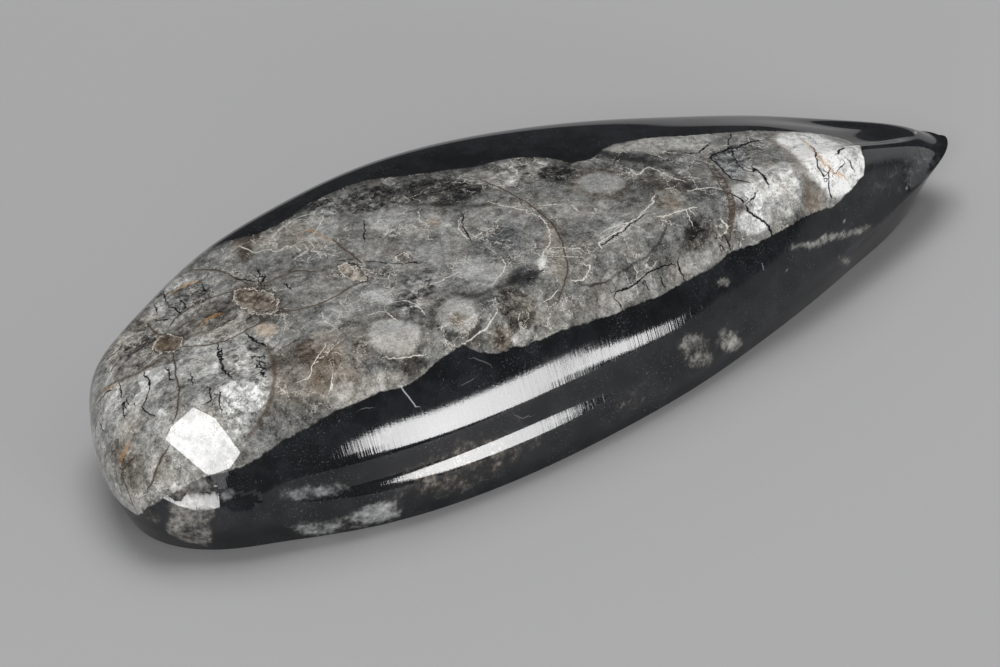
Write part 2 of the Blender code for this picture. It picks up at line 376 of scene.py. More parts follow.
    def grind(self, form: bmesh.types.BMesh) -> None:
        """Grind each facet: cut its edges into the mesh, then lower what stands proud."""
        for facet in self.facets:
            normal = facing(facet.azimuth, facet.elevation)
            upward = facing(facet.azimuth, facet.elevation + 90.0)
            place = Vector(facet.place) * MM
            ends = [Vector(end) * MM for end in facet.outline]
            sides = [(a, normal.cross(b - a).normalized()) for a, b in zip(ends, ends[1:] + ends[:1])]
            for point, way in [(place, normal), *sides]:
                near = [
                    face for face in form.faces
                    if (face.calc_center_median() - place).length < self.facet_reach * MM
                ]
                edges = {edge for face in near for edge in face.edges}
                corners = {corner for face in near for corner in face.verts}
                bmesh.ops.bisect_plane(
                    form, geom=[*corners, *edges, *near], dist=self.facet_slack * MM,
                    plane_co=point, plane_no=way,
                )
            flat = set()
            for corner in form.verts:
                if (corner.co - place).length > self.facet_reach * MM:
                    continue
                out = max(-(corner.co - point).dot(way) for point, way in sides)
                rise = (corner.co - place).dot(upward)
                proud = (corner.co - place).dot(normal) + facet.fall(rise)
                proud += facet.slope(rise) * max(out, 0.0)
                if proud > 0.0:
                    corner.co -= proud * normal
                if proud > -self.facet_slack * MM and out < self.facet_slack * MM:
                    flat.add(corner)
            for edge in form.edges:
                whole = [all(corner in flat for corner in face.verts) for face in edge.link_faces]
                if any(whole) and not all(whole):
                    edge.smooth = False


class StoneSurface:
    """Corners of the stone's fine mesh as arrays, in millimetres."""

    def __init__(self, form: bmesh.types.BMesh) -> None:
        """Read the mesh once; later work is on the arrays."""
        form.normal_update()
        form.verts.ensure_lookup_table()
        self.tree = BVHTree.FromBMesh(form)
        self.places = np.array([corner.co for corner in form.verts]) / MM
        self.normals = np.array([corner.normal for corner in form.verts])

    def normal_at(self, places: np.ndarray) -> np.ndarray:
        """Surface normals at points on or near the surface."""
        found = [self.tree.find_nearest(Vector(place) * MM)[1] for place in places]
        return np.array(found)

    def snapped(self, places: np.ndarray) -> np.ndarray:
        """The nearest points of the surface."""
        found = [self.tree.find_nearest(Vector(place) * MM)[0] for place in places]
        return np.array(found) / MM

    @staticmethod
    def rounded(points: np.ndarray, step: float, closed: bool = False) -> np.ndarray:
        """Points every step or so along a smooth curve through the given ones.

        Args:
            points: the curve's own points.
            step: distance between samples.
            closed: whether the curve returns to its start.

        Returns:
            The samples, ends included.
        """
        if closed:
            rows = np.vstack([points[-1:], points, points[:2]])
        else:
            rows = np.vstack([2 * points[:1] - points[1:2], points, 2 * points[-1:] - points[-2:-1]])
        samples = []
        for before, start, end, after in zip(rows, rows[1:], rows[2:], rows[3:]):
            count = max(2, int(math.ceil(np.linalg.norm(end - start) / step)))
            share = np.linspace(0.0, 1.0, count, endpoint=False)[:, None]
            bend = -before + 3 * start - 3 * end + after
            lean = 2 * before - 5 * start + 4 * end - after
            samples.append(0.5 * (2 * start + (end - before) * share + lean * share ** 2 + bend * share ** 3))
        samples.append(rows[-2:-1])
        return np.vstack(samples)

    def distance_to(self, curve: np.ndarray, limit: Optional[float] = None) -> Tuple[np.ndarray, np.ndarray]:
        """Distance of every corner to a curve on the surface, and its side.

        Args:
            curve: the curve's samples.
            limit: corners further than this are skipped.

        Returns:
            The signed distances, positive to the left seen from outside, and which
            corners were measured.
        """
        near = np.ones(len(self.places), dtype=bool)
        if limit is not None:
            low, high = curve.min(axis=0) - limit, curve.max(axis=0) + limit
            near = np.all((self.places > low) & (self.places < high), axis=1)
        index = np.nonzero(near)[0]
        places = self.places[index]
        best = np.full(len(index), np.inf)
        signed = np.full(len(index), np.inf)
        middles = (curve[1:] + curve[:-1]) / 2.0
        uprights = self.normal_at(middles)
        for start, end, upright in zip(curve, curve[1:], uprights):
            run = end - start
            length = run @ run
            if length == 0.0:
                continue
            share = np.clip((places - start) @ run / length, 0.0, 1.0)
            gap = places - start - share[:, None] * run
            distance = np.sqrt(np.einsum("ij,ij->i", gap, gap))
            closer = distance < best
            side = np.sign(np.cross(run, gap[closer]) @ upright)
            best[closer] = distance[closer]
            signed[closer] = distance[closer] * np.where(side == 0.0, 1.0, side)
        return signed, index


# -------------------------------------------------------------------- markings


class Family(Enum):
    """Kinds of line in the stone, each kept as one attribute of the mesh."""

    SEAM = "seam"
    CRACK = "crack"
    VEIN = "vein"
    SOOT = "soot"
    RUST = "rust"
    SCRATCH = "scratch"


@dataclass(frozen=True)
class Trace:
    """Line across the polished stone."""

    family: Family
    width: float
    points: Tuple[Triple, ...]


@dataclass(frozen=True)
class Patch:
    """Soft-edged area of the stone with its own look; None leaves a quality alone.

    Its two arms reach from the middle to the edge. A power of 2 makes an oval, a greater
    one a box and 1 a diamond.
    """

    place: Triple
    along: Triple
    across: Triple
    tone: Optional[float] = None
    warmth: Optional[float] = None
    mottle: Optional[float] = None
    crumb: Optional[float] = None
    softness: float = 0.5
    power: float = 2.0


@dataclass
class FossilMarkings:
    """Where the shell's section and its marks lie on the polished stone."""

    border: Tuple[Triple, ...] = (
        (-62.4, -8.1, 4.1), (-60.5, -12.5, 8.3), (-55.6, -15.0, 11.0), (-53.2, -16.3, 11.5),
        (-50.3, -17.1, 12.0), (-47.1, -17.5, 13.2), (-43.8, -18.0, 14.3), (-41.0, -18.5, 15.2),
        (-38.2, -19.0, 15.9), (-35.7, -19.5, 16.3), (-33.1, -19.8, 16.5), (-30.4, -20.3, 16.4),
        (-28.0, -20.3, 16.8), (-25.8, -20.0, 17.6), (-24.9, -19.9, 17.9),
        (-23.1, -19.7, 18.2), (-21.6, -19.6, 18.5), (-20.7, -20.2, 17.5), (-19.8, -20.6, 16.9),
        (-17.5, -20.9, 16.2), (-15.4, -21.0, 16.0), (-13.2, -21.0, 15.8), (-11.0, -21.0, 15.7),
        (-8.9, -20.9, 15.7), (-4.3, -20.8, 15.2), (0.7, -20.6, 14.7), (6.1, -20.1, 14.4),
        (11.4, -19.3, 14.3), (14.9, -18.7, 14.3), (18.3, -17.9, 14.5), (22.6, -17.2, 14.1),
        (26.9, -16.5, 13.7), (29.5, -15.9, 13.6), (32.1, -15.2, 13.5), (34.3, -14.8, 13.1),
        (36.4, -14.3, 12.7), (38.8, -13.5, 12.6), (41.1, -12.6, 12.9), (42.9, -11.7, 13.4),
        (44.3, -10.7, 14.1), (44.6, -10.0, 14.9), (44.7, -9.3, 15.6), (46.5, -4.6, 13.9),
        (45.4, -3.0, 14.3), (41.9, -1.8, 15.7), (37.9, -1.1, 17.1), (32.9, 0.6, 18.1),
        (27.8, 2.0, 18.9), (24.3, 3.1, 19.4), (20.9, 4.3, 19.8), (18.2, 4.9, 20.1), (15.5, 5.2, 20.3),
        (13.6, 4.4, 20.6), (11.7, 3.3, 20.8), (10.0, 3.5, 20.8), (8.7, 4.2, 20.9), (7.7, 6.4, 20.8),
        (6.2, 7.9, 20.8), (4.6, 9.2, 20.7), (2.6, 10.1, 20.8), (0.7, 10.2, 20.9), (-1.0, 10.4, 20.9),
        (-2.9, 11.2, 20.9), (-4.6, 12.0, 20.9), (-7.3, 13.2, 20.9), (-9.9, 14.4, 20.9),
        (-12.3, 15.8, 20.8), (-14.9, 16.9, 20.7), (-18.2, 17.1, 20.5), (-21.5, 17.0, 20.3),
        (-24.9, 16.1, 20.2), (-28.1, 15.4, 20.0), (-30.7, 15.6, 19.7), (-32.6, 16.7, 19.3),
        (-36.0, 18.9, 17.9), (-42.0, 22.0, 12.0), (-50.0, 19.0, 9.0), (-57.0, 14.0, 6.0), (-61.8, 5.0, 4.0),
        (-62.6, -3.0, 3.2),
    )
    border_step: float = 0.6
    trace_step: float = 0.4
    trace_reach: float = 2.5
    patch_reach: float = 3.0
    far: float = 9.0
    wobble: float = 0.7
    wobble_size: float = 4.0
    base_tone: float = 0.42
    base_mottle: float = 0.55
    traces: Tuple[Trace, ...] = (
        Trace(Family.CRACK, 0.22, ((-40.8, 11.0, 18.3), (-41.2, 8.8, 18.4))),
        Trace(Family.CRACK, 0.18, ((-41.3, 10.1, 18.2), (-40.7, 9.6, 18.4))),
        Trace(Family.CRACK, 0.22, ((-43.8, 11.5, 17.3), (-44.2, 10.0, 17.4), (-45.4, 8.9, 17.2))),
        Trace(Family.CRACK, 0.25, ((-45.3, 11.3, 16.8), (-45.3, 9.4, 17.1))),
        Trace(Family.CRACK, 0.18, ((-44.0, 15.5, 16.5), (-44.8, 13.0, 16.7))),
        Trace(Family.CRACK, 0.18, ((-46.1, 14.3, 16.0), (-46.6, 12.7, 16.1))),
        Trace(Family.CRACK, 0.18, ((-47.5, 11.1, 16.1), (-46.7, 9.5, 16.7))),
        Trace(Family.CRACK, 0.26, ((-45.7, -2.0, 18.5), (-47.0, -4.8, 18.5), (-47.6, -7.2, 18.7),
            (-47.9, -9.3, 19.0))),
        Trace(Family.CRACK, 0.18, ((-45.7, -3.1, 18.6), (-47.1, -5.3, 18.5))),
        Trace(Family.CRACK, 0.26, ((-42.0, -3.1, 19.2), (-42.1, -4.8, 19.3), (-41.6, -6.4, 19.4))),
        Trace(Family.CRACK, 0.30, ((-43.6, -7.5, 19.2), (-42.8, -8.4, 19.4))),
        Trace(Family.CRACK, 0.36, ((-43.7, -8.9, 19.3), (-43.5, -10.0, 19.5))),
        Trace(Family.CRACK, 0.40, ((-44.5, -9.7, 19.4), (-44.3, -11.3, 19.7))),
        Trace(Family.CRACK, 0.36, ((-44.8, -11.5, 19.7), (-45.0, -12.3, 19.7))),
        Trace(Family.CRACK, 0.20, ((-54.2, 1.6, 16.1), (-54.7, -0.6, 16.4), (-55.5, -2.5, 16.4),
            (-57.0, -3.7, 15.8))),
        Trace(Family.CRACK, 0.18, ((-57.4, -3.9, 15.6), (-57.4, -6.5, 15.9))),
        Trace(Family.CRACK, 0.18, ((-58.3, 0.0, 14.3), (-59.1, -1.9, 14.0))),
        Trace(Family.CRACK, 0.16, ((-57.7, -0.1, 14.7), (-57.9, -1.4, 14.9))),
        Trace(Family.CRACK, 0.20, ((-52.2, -0.6, 17.1), (-52.8, -3.1, 17.4))),
        Trace(Family.CRACK, 0.20, ((-51.0, -9.4, 18.7), (-51.6, -10.9, 18.2), (-52.1, -10.9, 18.0))),
        Trace(Family.CRACK, 0.20, ((-50.4, -11.1, 18.5), (-51.0, -12.2, 17.3))),
        Trace(Family.CRACK, 0.18, ((-59.1, 5.0, 12.3), (-58.4, 4.9, 13.0), (-57.8, 4.1, 13.6))),
        Trace(Family.CRACK, 0.18, ((-55.0, 10.5, 13.7), (-53.9, 10.4, 14.2), (-52.8, 10.7, 14.5))),
        Trace(Family.CRACK, 0.18, ((-55.6, 7.9, 14.0), (-54.2, 8.5, 14.5))),
        Trace(Family.CRACK, 0.18, ((-56.9, 3.8, 14.3), (-57.6, 1.3, 14.5))),
        Trace(Family.CRACK, 0.16, ((-57.1, -0.1, 15.1), (-57.7, -2.1, 15.2))),
        Trace(Family.CRACK, 0.16, ((-51.0, -4.6, 18.0), (-51.6, -6.6, 18.2))),
        Trace(Family.CRACK, 0.16, ((-60.6, 2.1, 11.6), (-61.1, 0.2, 11.5))),
        Trace(Family.CRACK, 0.22, ((-35.2, 6.3, 19.9), (-35.8, 4.9, 19.9))),
        Trace(Family.CRACK, 0.18, ((-34.6, 6.2, 20.0), (-35.6, 4.2, 19.9))),
        Trace(Family.CRACK, 0.18, ((-33.5, 2.5, 20.3), (-33.7, 1.3, 20.3))),
        Trace(Family.SEAM, 0.30, ((-48.6, 10.9, 15.8), (-49.0, 7.8, 16.3), (-48.2, 5.8, 17.0))),
        Trace(Family.SEAM, 0.34, ((-39.8, 15.9, 17.8), (-38.1, 12.8, 18.7), (-37.2, 9.5, 19.3),
            (-37.0, 6.4, 19.6), (-37.0, 4.8, 19.5))),
        Trace(Family.SEAM, 0.26, ((-47.2, 8.0, 16.8), (-45.9, 8.8, 17.1), (-43.6, 8.7, 17.7),
            (-40.9, 7.7, 18.6), (-38.2, 5.9, 19.3), (-36.1, 3.4, 19.9))),
        Trace(Family.SEAM, 0.28, ((-48.6, 1.8, 17.6), (-46.4, -0.8, 18.3), (-43.9, -1.9, 18.9),
            (-40.8, -2.1, 19.4), (-37.9, -1.8, 19.8), (-36.0, -1.5, 20.1))),
        Trace(Family.SEAM, 0.26, ((-50.0, 1.8, 17.3), (-51.8, -2.4, 17.5), (-53.5, -6.4, 17.7),
            (-55.3, -9.2, 17.2), (-56.0, -9.8, 16.5))),
        Trace(Family.SEAM, 0.75, ((-41.4, -7.1, 19.5), (-43.7, -12.7, 19.8), (-44.8, -13.9, 18.2),
            (-47.0, -15.1, 16.1), (-49.2, -15.6, 14.6))),
        Trace(Family.SEAM, 0.80, ((-51.5, 2.0, 16.9), (-53.4, 2.4, 16.3), (-55.2, 3.3, 15.3),
            (-56.7, 4.9, 14.2), (-58.6, 6.0, 12.4))),
        Trace(Family.SEAM, 0.22, ((-62.4, -6.8, 10.0), (-61.1, -7.7, 11.9))),
        Trace(Family.SEAM, 0.24, ((-62.5, -6.5, 9.9), (-62.8, -8.8, 8.1), (-62.7, -9.5, 6.6))),
        Trace(Family.SEAM, 0.36, ((-58.0, -10.9, 13.7), (-59.6, -10.9, 11.6), (-61.0, -11.1, 9.5))),
        Trace(Family.RUST, 0.35, ((-43.5, 14.2, 17.0), (-41.8, 13.9, 17.6), (-41.0, 13.1, 17.9))),
        Trace(Family.RUST, 0.55, ((-44.7, 3.7, 18.3), (-43.7, 3.9, 18.5), (-42.7, 3.6, 18.7))),
        Trace(Family.RUST, 0.80, ((-61.8, -6.0, 11.2), (-61.1, -5.8, 12.2))),
        Trace(Family.RUST, 0.40, ((-57.9, 5.4, 13.2), (-57.2, 4.0, 14.1))),
        Trace(Family.RUST, 0.35, ((-25.2, 11.0, 20.5), (-24.7, 9.7, 20.6), (-24.7, 7.6, 20.7))),
        Trace(Family.VEIN, 0.22, ((-33.5, 14.5, 19.5), (-33.1, 13.6, 19.6), (-33.0, 12.0, 19.8),
            (-32.5, 11.7, 19.8), (-31.4, 10.8, 20.0), (-30.6, 9.6, 20.2), (-29.6, 10.0, 20.2),
            (-28.6, 9.4, 20.3), (-28.5, 7.9, 20.4))),
        Trace(Family.VEIN, 0.18, ((-26.5, 9.0, 20.5), (-26.9, 7.0, 20.6), (-27.3, 5.0, 20.6))),
        Trace(Family.VEIN, 0.18, ((-29.3, 6.8, 20.4), (-27.9, 7.3, 20.5), (-26.9, 5.6, 20.6),
            (-26.0, 3.7, 20.7))),
        Trace(Family.VEIN, 0.16, ((-22.5, 12.6, 20.5), (-23.5, 11.5, 20.5), (-25.0, 10.1, 20.5))),
        Trace(Family.VEIN, 0.16, ((-29.4, 13.2, 20.0), (-27.6, 14.2, 20.1), (-26.0, 14.7, 20.2),
            (-23.7, 14.7, 20.4))),
        Trace(Family.VEIN, 0.20, ((-29.0, -10.4, 20.8), (-27.5, -11.1, 20.8), (-27.2, -13.2, 20.9))),
        Trace(Family.VEIN, 0.18, ((-20.2, -9.7, 21.0), (-18.8, -9.7, 21.1), (-17.4, -9.6, 21.1),
            (-16.0, -9.5, 21.2))),
        Trace(Family.VEIN, 0.22, ((-13.4, -13.9, 21.1), (-12.0, -13.2, 21.2), (-10.7, -11.8, 21.2),
            (-10.2, -10.3, 21.2))),
        Trace(Family.VEIN, 0.22, ((-9.9, 0.1, 21.3), (-10.8, -1.1, 21.3), (-11.1, -2.8, 21.3),
            (-11.4, -3.9, 21.3), (-10.2, -4.1, 21.3), (-8.9, -3.8, 21.3))),
        Trace(Family.VEIN, 0.16, ((-12.7, 5.5, 21.2), (-13.7, 4.0, 21.2), (-13.6, 2.6, 21.2))),
        Trace(Family.VEIN, 0.24, ((-4.5, 1.5, 21.3), (-3.4, -0.4, 21.3), (-2.5, -2.1, 21.3),
            (-2.1, -3.6, 21.3))),
        Trace(Family.VEIN, 0.22, ((-2.2, -8.9, 21.2), (-4.1, -11.2, 21.2), (-6.7, -13.5, 21.1),
            (-7.5, -15.2, 21.0))),
        Trace(Family.VEIN, 0.30, ((-21.5, -19.5, 18.6), (-19.9, -19.5, 18.7), (-18.2, -19.3, 18.9),
            (-17.3, -18.9, 19.4), (-16.1, -18.3, 19.9))),
        Trace(Family.VEIN, 0.20, ((-25.9, -9.9, 20.9), (-24.4, -10.6, 20.9), (-23.6, -12.5, 21.0),
            (-23.7, -14.2, 21.0))),
        Trace(Family.VEIN, 0.16, ((-33.4, -6.4, 20.4), (-33.9, -7.9, 20.4), (-33.8, -9.2, 20.5))),
        Trace(Family.VEIN, 0.22, ((-41.4, -14.9, 18.5), (-40.5, -15.6, 19.5), (-39.2, -14.8, 20.2),
            (-37.6, -14.3, 20.4), (-35.9, -13.5, 20.6), (-34.6, -12.9, 20.6))),
        Trace(Family.VEIN, 0.20, ((-39.8, -15.0, 20.0), (-37.5, -13.4, 20.4), (-36.2, -12.2, 20.4))),
        Trace(Family.VEIN, 0.18, ((-39.0, -17.5, 17.9), (-38.1, -16.8, 19.1))),
        Trace(Family.VEIN, 0.20, ((-26.9, -19.1, 18.7), (-29.2, -18.6, 19.1), (-31.2, -18.0, 19.5))),
        Trace(Family.SOOT, 1.30, ((-17.8, -14.7, 21.1), (-15.7, -15.1, 21.1), (-13.3, -15.2, 21.1),
            (-11.0, -15.1, 21.1), (-8.4, -15.1, 21.1))),
        Trace(Family.SOOT, 1.30, ((-11.2, 6.6, 21.2), (-9.8, 5.1, 21.2), (-8.1, 3.7, 21.3),
            (-6.4, 2.0, 21.3), (-5.1, 1.6, 21.3))),
        Trace(Family.SOOT, 0.90, ((-13.9, 9.3, 21.1), (-12.0, 6.9, 21.2))),
        Trace(Family.CRACK, 0.16, ((-23.7, 0.1, 20.9), (-21.0, -2.8, 21.0), (-18.8, -4.4, 21.1))),
        Trace(Family.SOOT, 0.45, ((-25.8, 2.0, 20.8), (-25.0, 0.4, 20.8), (-25.2, -1.8, 20.8),
            (-25.7, -3.9, 20.8))),
        Trace(Family.CRACK, 0.20, ((-34.6, 7.9, 19.8), (-35.7, 5.0, 19.9))),
        Trace(Family.CRACK, 0.24, ((-36.9, 8.3, 19.4), (-36.1, 6.2, 19.7))),
        Trace(Family.SEAM, 0.34, ((-36.9, -2.2, 20.0), (-34.9, -3.4, 20.2), (-32.5, -4.1, 20.5),
            (-29.9, -4.0, 20.6), (-27.5, -3.6, 20.8), (-26.0, -3.7, 20.8))),
        Trace(Family.SEAM, 0.34, ((-35.4, 4.7, 19.9), (-33.3, 4.4, 20.2), (-31.1, 3.9, 20.4),
            (-29.7, 2.5, 20.6))),
        Trace(Family.SEAM, 0.45, ((-24.2, 6.5, 20.7), (-24.2, 3.8, 20.8), (-24.2, 0.5, 20.9))),
        Trace(Family.SEAM, 0.28, ((-2.5, 6.9, 21.1), (-1.9, 4.6, 21.2), (-1.3, 1.4, 21.3),
            (-0.9, -1.6, 21.3), (-1.0, -5.4, 21.3), (-1.2, -8.2, 21.2), (-2.0, -10.8, 21.2),
            (-3.2, -13.5, 21.1), (-4.5, -16.1, 20.8), (-5.6, -17.4, 20.2), (-7.0, -18.5, 19.3),
            (-7.7, -19.0, 18.7))),
        Trace(Family.CRACK, 0.18, ((-8.8, 1.2, 21.3), (-10.0, -1.1, 21.3), (-11.1, -4.0, 21.3))),
        Trace(Family.CRACK, 0.18, ((-19.4, 7.6, 20.9), (-21.2, 4.5, 20.9))),
        Trace(Family.SOOT, 1.50, ((13.1, 5.9, 20.5), (14.0, 3.1, 20.6), (15.5, 0.3, 20.6),
            (17.3, -2.0, 20.6), (18.1, -4.3, 20.5), (18.3, -7.0, 20.4), (17.8, -9.2, 20.4))),
        Trace(Family.VEIN, 0.26, ((14.1, -1.8, 20.8), (14.0, -3.7, 20.8), (16.2, -2.7, 20.7),
            (16.8, -4.4, 20.6), (17.4, -6.5, 20.5), (18.0, -7.6, 20.4))),
        Trace(Family.VEIN, 0.34, ((1.2, -14.8, 20.8), (1.9, -14.1, 20.9), (4.0, -13.6, 20.9),
            (5.6, -13.1, 20.9), (7.7, -12.2, 20.8), (9.7, -11.5, 20.8), (11.6, -10.3, 20.8),
            (13.0, -9.2, 20.7))),
        Trace(Family.VEIN, 0.22, ((2.9, -12.6, 21.0), (5.2, -12.1, 20.9), (7.4, -12.4, 20.8),
            (10.2, -11.0, 20.8), (12.3, -9.6, 20.8))),
        Trace(Family.CRACK, 0.18, ((1.7, -14.7, 20.9), (4.0, -14.0, 20.8), (5.6, -13.5, 20.8),
            (7.7, -12.6, 20.8), (9.7, -11.9, 20.8))),
        Trace(Family.VEIN, 0.26, ((10.7, -13.3, 20.6), (11.7, -13.7, 20.5), (13.2, -13.5, 20.4),
            (14.7, -13.5, 20.3), (16.0, -13.5, 20.2))),
        Trace(Family.VEIN, 0.18, ((14.7, -13.5, 20.3), (14.6, -15.2, 19.6))),
        Trace(Family.VEIN, 0.24, ((17.7, -10.3, 20.3), (19.0, -10.4, 20.2), (20.2, -10.7, 20.1),
            (20.9, -11.5, 20.0))),
        Trace(Family.VEIN, 0.34, ((18.8, -15.8, 18.1), (19.6, -16.1, 17.3), (18.4, -16.6, 17.0))),
        Trace(Family.VEIN, 0.20, ((0.2, -3.0, 21.3), (1.9, -3.8, 21.2), (3.1, -4.9, 21.2),
            (3.1, -6.3, 21.2))),
        Trace(Family.VEIN, 0.22, ((-2.5, -2.2, 21.3), (-1.8, -2.7, 21.3), (-1.5, -4.7, 21.3),
            (-2.1, -8.3, 21.2), (-3.9, -11.1, 21.2), (-6.0, -12.7, 21.1), (-6.6, -15.0, 21.0))),
        Trace(Family.VEIN, 0.22, ((-4.7, -17.9, 19.7), (-3.3, -18.0, 19.6), (-1.9, -17.2, 20.1),
            (-2.0, -16.8, 20.4))),
        Trace(Family.VEIN, 0.14, ((-4.4, -11.5, 21.2), (-1.4, -13.6, 21.0))),
        Trace(Family.VEIN, 0.14, ((-5.4, -13.1, 21.1), (-2.2, -15.2, 20.9))),
        Trace(Family.VEIN, 0.20, ((-9.3, -18.7, 19.2), (-7.5, -18.3, 19.5))),
        Trace(Family.SOOT, 0.40, ((10.7, -15.2, 20.1), (8.8, -16.6, 19.4), (6.6, -17.4, 19.0),
            (4.0, -17.9, 18.7), (1.5, -18.4, 18.5), (-0.8, -18.7, 18.3), (-2.9, -18.6, 18.7),
            (-3.8, -18.5, 19.0))),
        Trace(Family.CRACK, 0.24, ((10.4, -18.1, 17.2), (8.4, -18.4, 17.1), (6.0, -18.7, 17.1),
            (4.2, -19.1, 16.9), (2.1, -19.3, 16.8), (0.2, -19.6, 16.7))),
        Trace(Family.CRACK, 0.16, ((7.3, -19.3, 15.8), (7.5, -19.6, 15.0))),
        Trace(Family.CRACK, 0.16, ((10.2, -18.3, 16.7), (10.5, -19.3, 14.7))),
        Trace(Family.CRACK, 0.16, ((-0.2, -19.6, 16.8), (0.4, -20.3, 15.4))),
        Trace(Family.CRACK, 0.16, ((5.0, -19.2, 16.5), (4.9, -19.6, 15.8))),
        Trace(Family.SEAM, 0.40, ((24.1, -5.3, 19.8), (23.1, -9.1, 19.8), (22.2, -12.3, 19.8),
            (21.5, -14.2, 19.1), (20.8, -15.4, 18.0), (19.7, -16.4, 16.8), (18.6, -17.2, 15.8))),
        Trace(Family.SEAM, 0.24, ((23.3, -5.5, 19.9), (22.2, -9.3, 19.9), (21.4, -12.4, 19.9),
            (20.7, -14.3, 19.2), (20.2, -15.4, 18.2), (19.1, -16.4, 17.1))),
        Trace(Family.SEAM, 1.30, ((34.5, -3.8, 18.1), (34.7, -6.2, 18.1), (33.9, -9.7, 18.6),
            (33.5, -12.1, 18.1), (33.5, -13.2, 16.8), (32.9, -14.0, 15.6), (31.9, -14.9, 14.4))),
        Trace(Family.CRACK, 0.26, ((23.0, -2.1, 19.9), (24.2, -2.4, 19.7), (25.8, -1.6, 19.5),
            (26.7, -1.1, 19.3))),
        Trace(Family.CRACK, 0.42, ((24.6, -4.2, 19.7), (25.4, -3.8, 19.6), (26.9, -3.5, 19.3),
            (28.4, -3.3, 19.1), (29.9, -3.5, 18.9), (31.4, -2.8, 18.6), (33.0, -2.9, 18.3))),
        Trace(Family.CRACK, 0.20, ((30.8, 0.2, 18.6), (28.5, -3.4, 19.1), (27.3, -6.1, 19.3),
            (26.7, -8.4, 19.4), (27.4, -10.1, 19.3))),
        Trace(Family.CRACK, 0.34, ((28.1, -9.2, 19.2), (27.8, -11.2, 19.3), (27.7, -12.7, 19.0))),
        Trace(Family.CRACK, 0.24, ((24.7, -4.8, 19.7), (24.4, -6.8, 19.7), (24.0, -9.1, 19.7),
            (23.7, -10.5, 19.7), (25.2, -11.8, 19.5))),
        Trace(Family.CRACK, 0.34, ((22.2, -13.5, 19.5), (22.8, -14.4, 18.7), (23.3, -15.2, 17.6),
            (24.2, -15.7, 16.5), (25.0, -16.0, 15.5), (25.4, -16.4, 14.6), (25.4, -16.7, 13.9))),
        Trace(Family.CRACK, 0.34, ((40.4, -10.1, 17.2), (42.3, -8.9, 16.6))),
        Trace(Family.CRACK, 0.26, ((38.6, -6.8, 17.2), (36.9, -10.5, 18.1), (36.2, -11.8, 17.4),
            (36.4, -12.6, 16.3))),
        Trace(Family.CRACK, 0.30, ((37.8, -12.0, 16.4), (37.0, -12.8, 15.5), (36.8, -13.3, 14.8),
            (36.7, -13.7, 13.8))),
        Trace(Family.CRACK, 0.22, ((39.0, -11.9, 15.9), (40.6, -11.3, 15.9))),
        Trace(Family.CRACK, 0.22, ((41.6, -10.9, 15.7), (41.9, -11.3, 15.0))),
        Trace(Family.CRACK, 0.22, ((25.1, -13.8, 18.8), (23.9, -14.3, 18.6))),
        Trace(Family.CRACK, 0.20, ((17.2, -17.1, 16.6), (17.3, -17.6, 15.5))),
        Trace(Family.CRACK, 0.20, ((18.4, -16.9, 16.5), (18.7, -17.5, 15.2))),
        Trace(Family.RUST, 0.70, ((38.9, -4.9, 16.9), (37.3, -10.2, 18.0), (38.2, -11.9, 16.4),
            (39.6, -12.2, 15.0))),
        Trace(Family.SCRATCH, 0.22, ((-30.9, -20.3, 16.3), (-30.0, -21.5, 14.1))),
        Trace(Family.SCRATCH, 0.12, ((-21.0, -20.7, 16.7), (-19.4, -21.3, 15.5))),
        Trace(Family.SCRATCH, 0.12, ((-36.3, -19.9, 15.3), (-35.3, -20.1, 15.3))),
        Trace(Family.SCRATCH, 0.12, ((-23.3, -21.8, 14.4), (-21.8, -21.7, 14.6))),
        Trace(Family.SCRATCH, 0.12, ((-17.6, -24.2, 8.7), (-17.0, -24.4, 8.1), (-16.0, -24.4, 8.1))),
    )
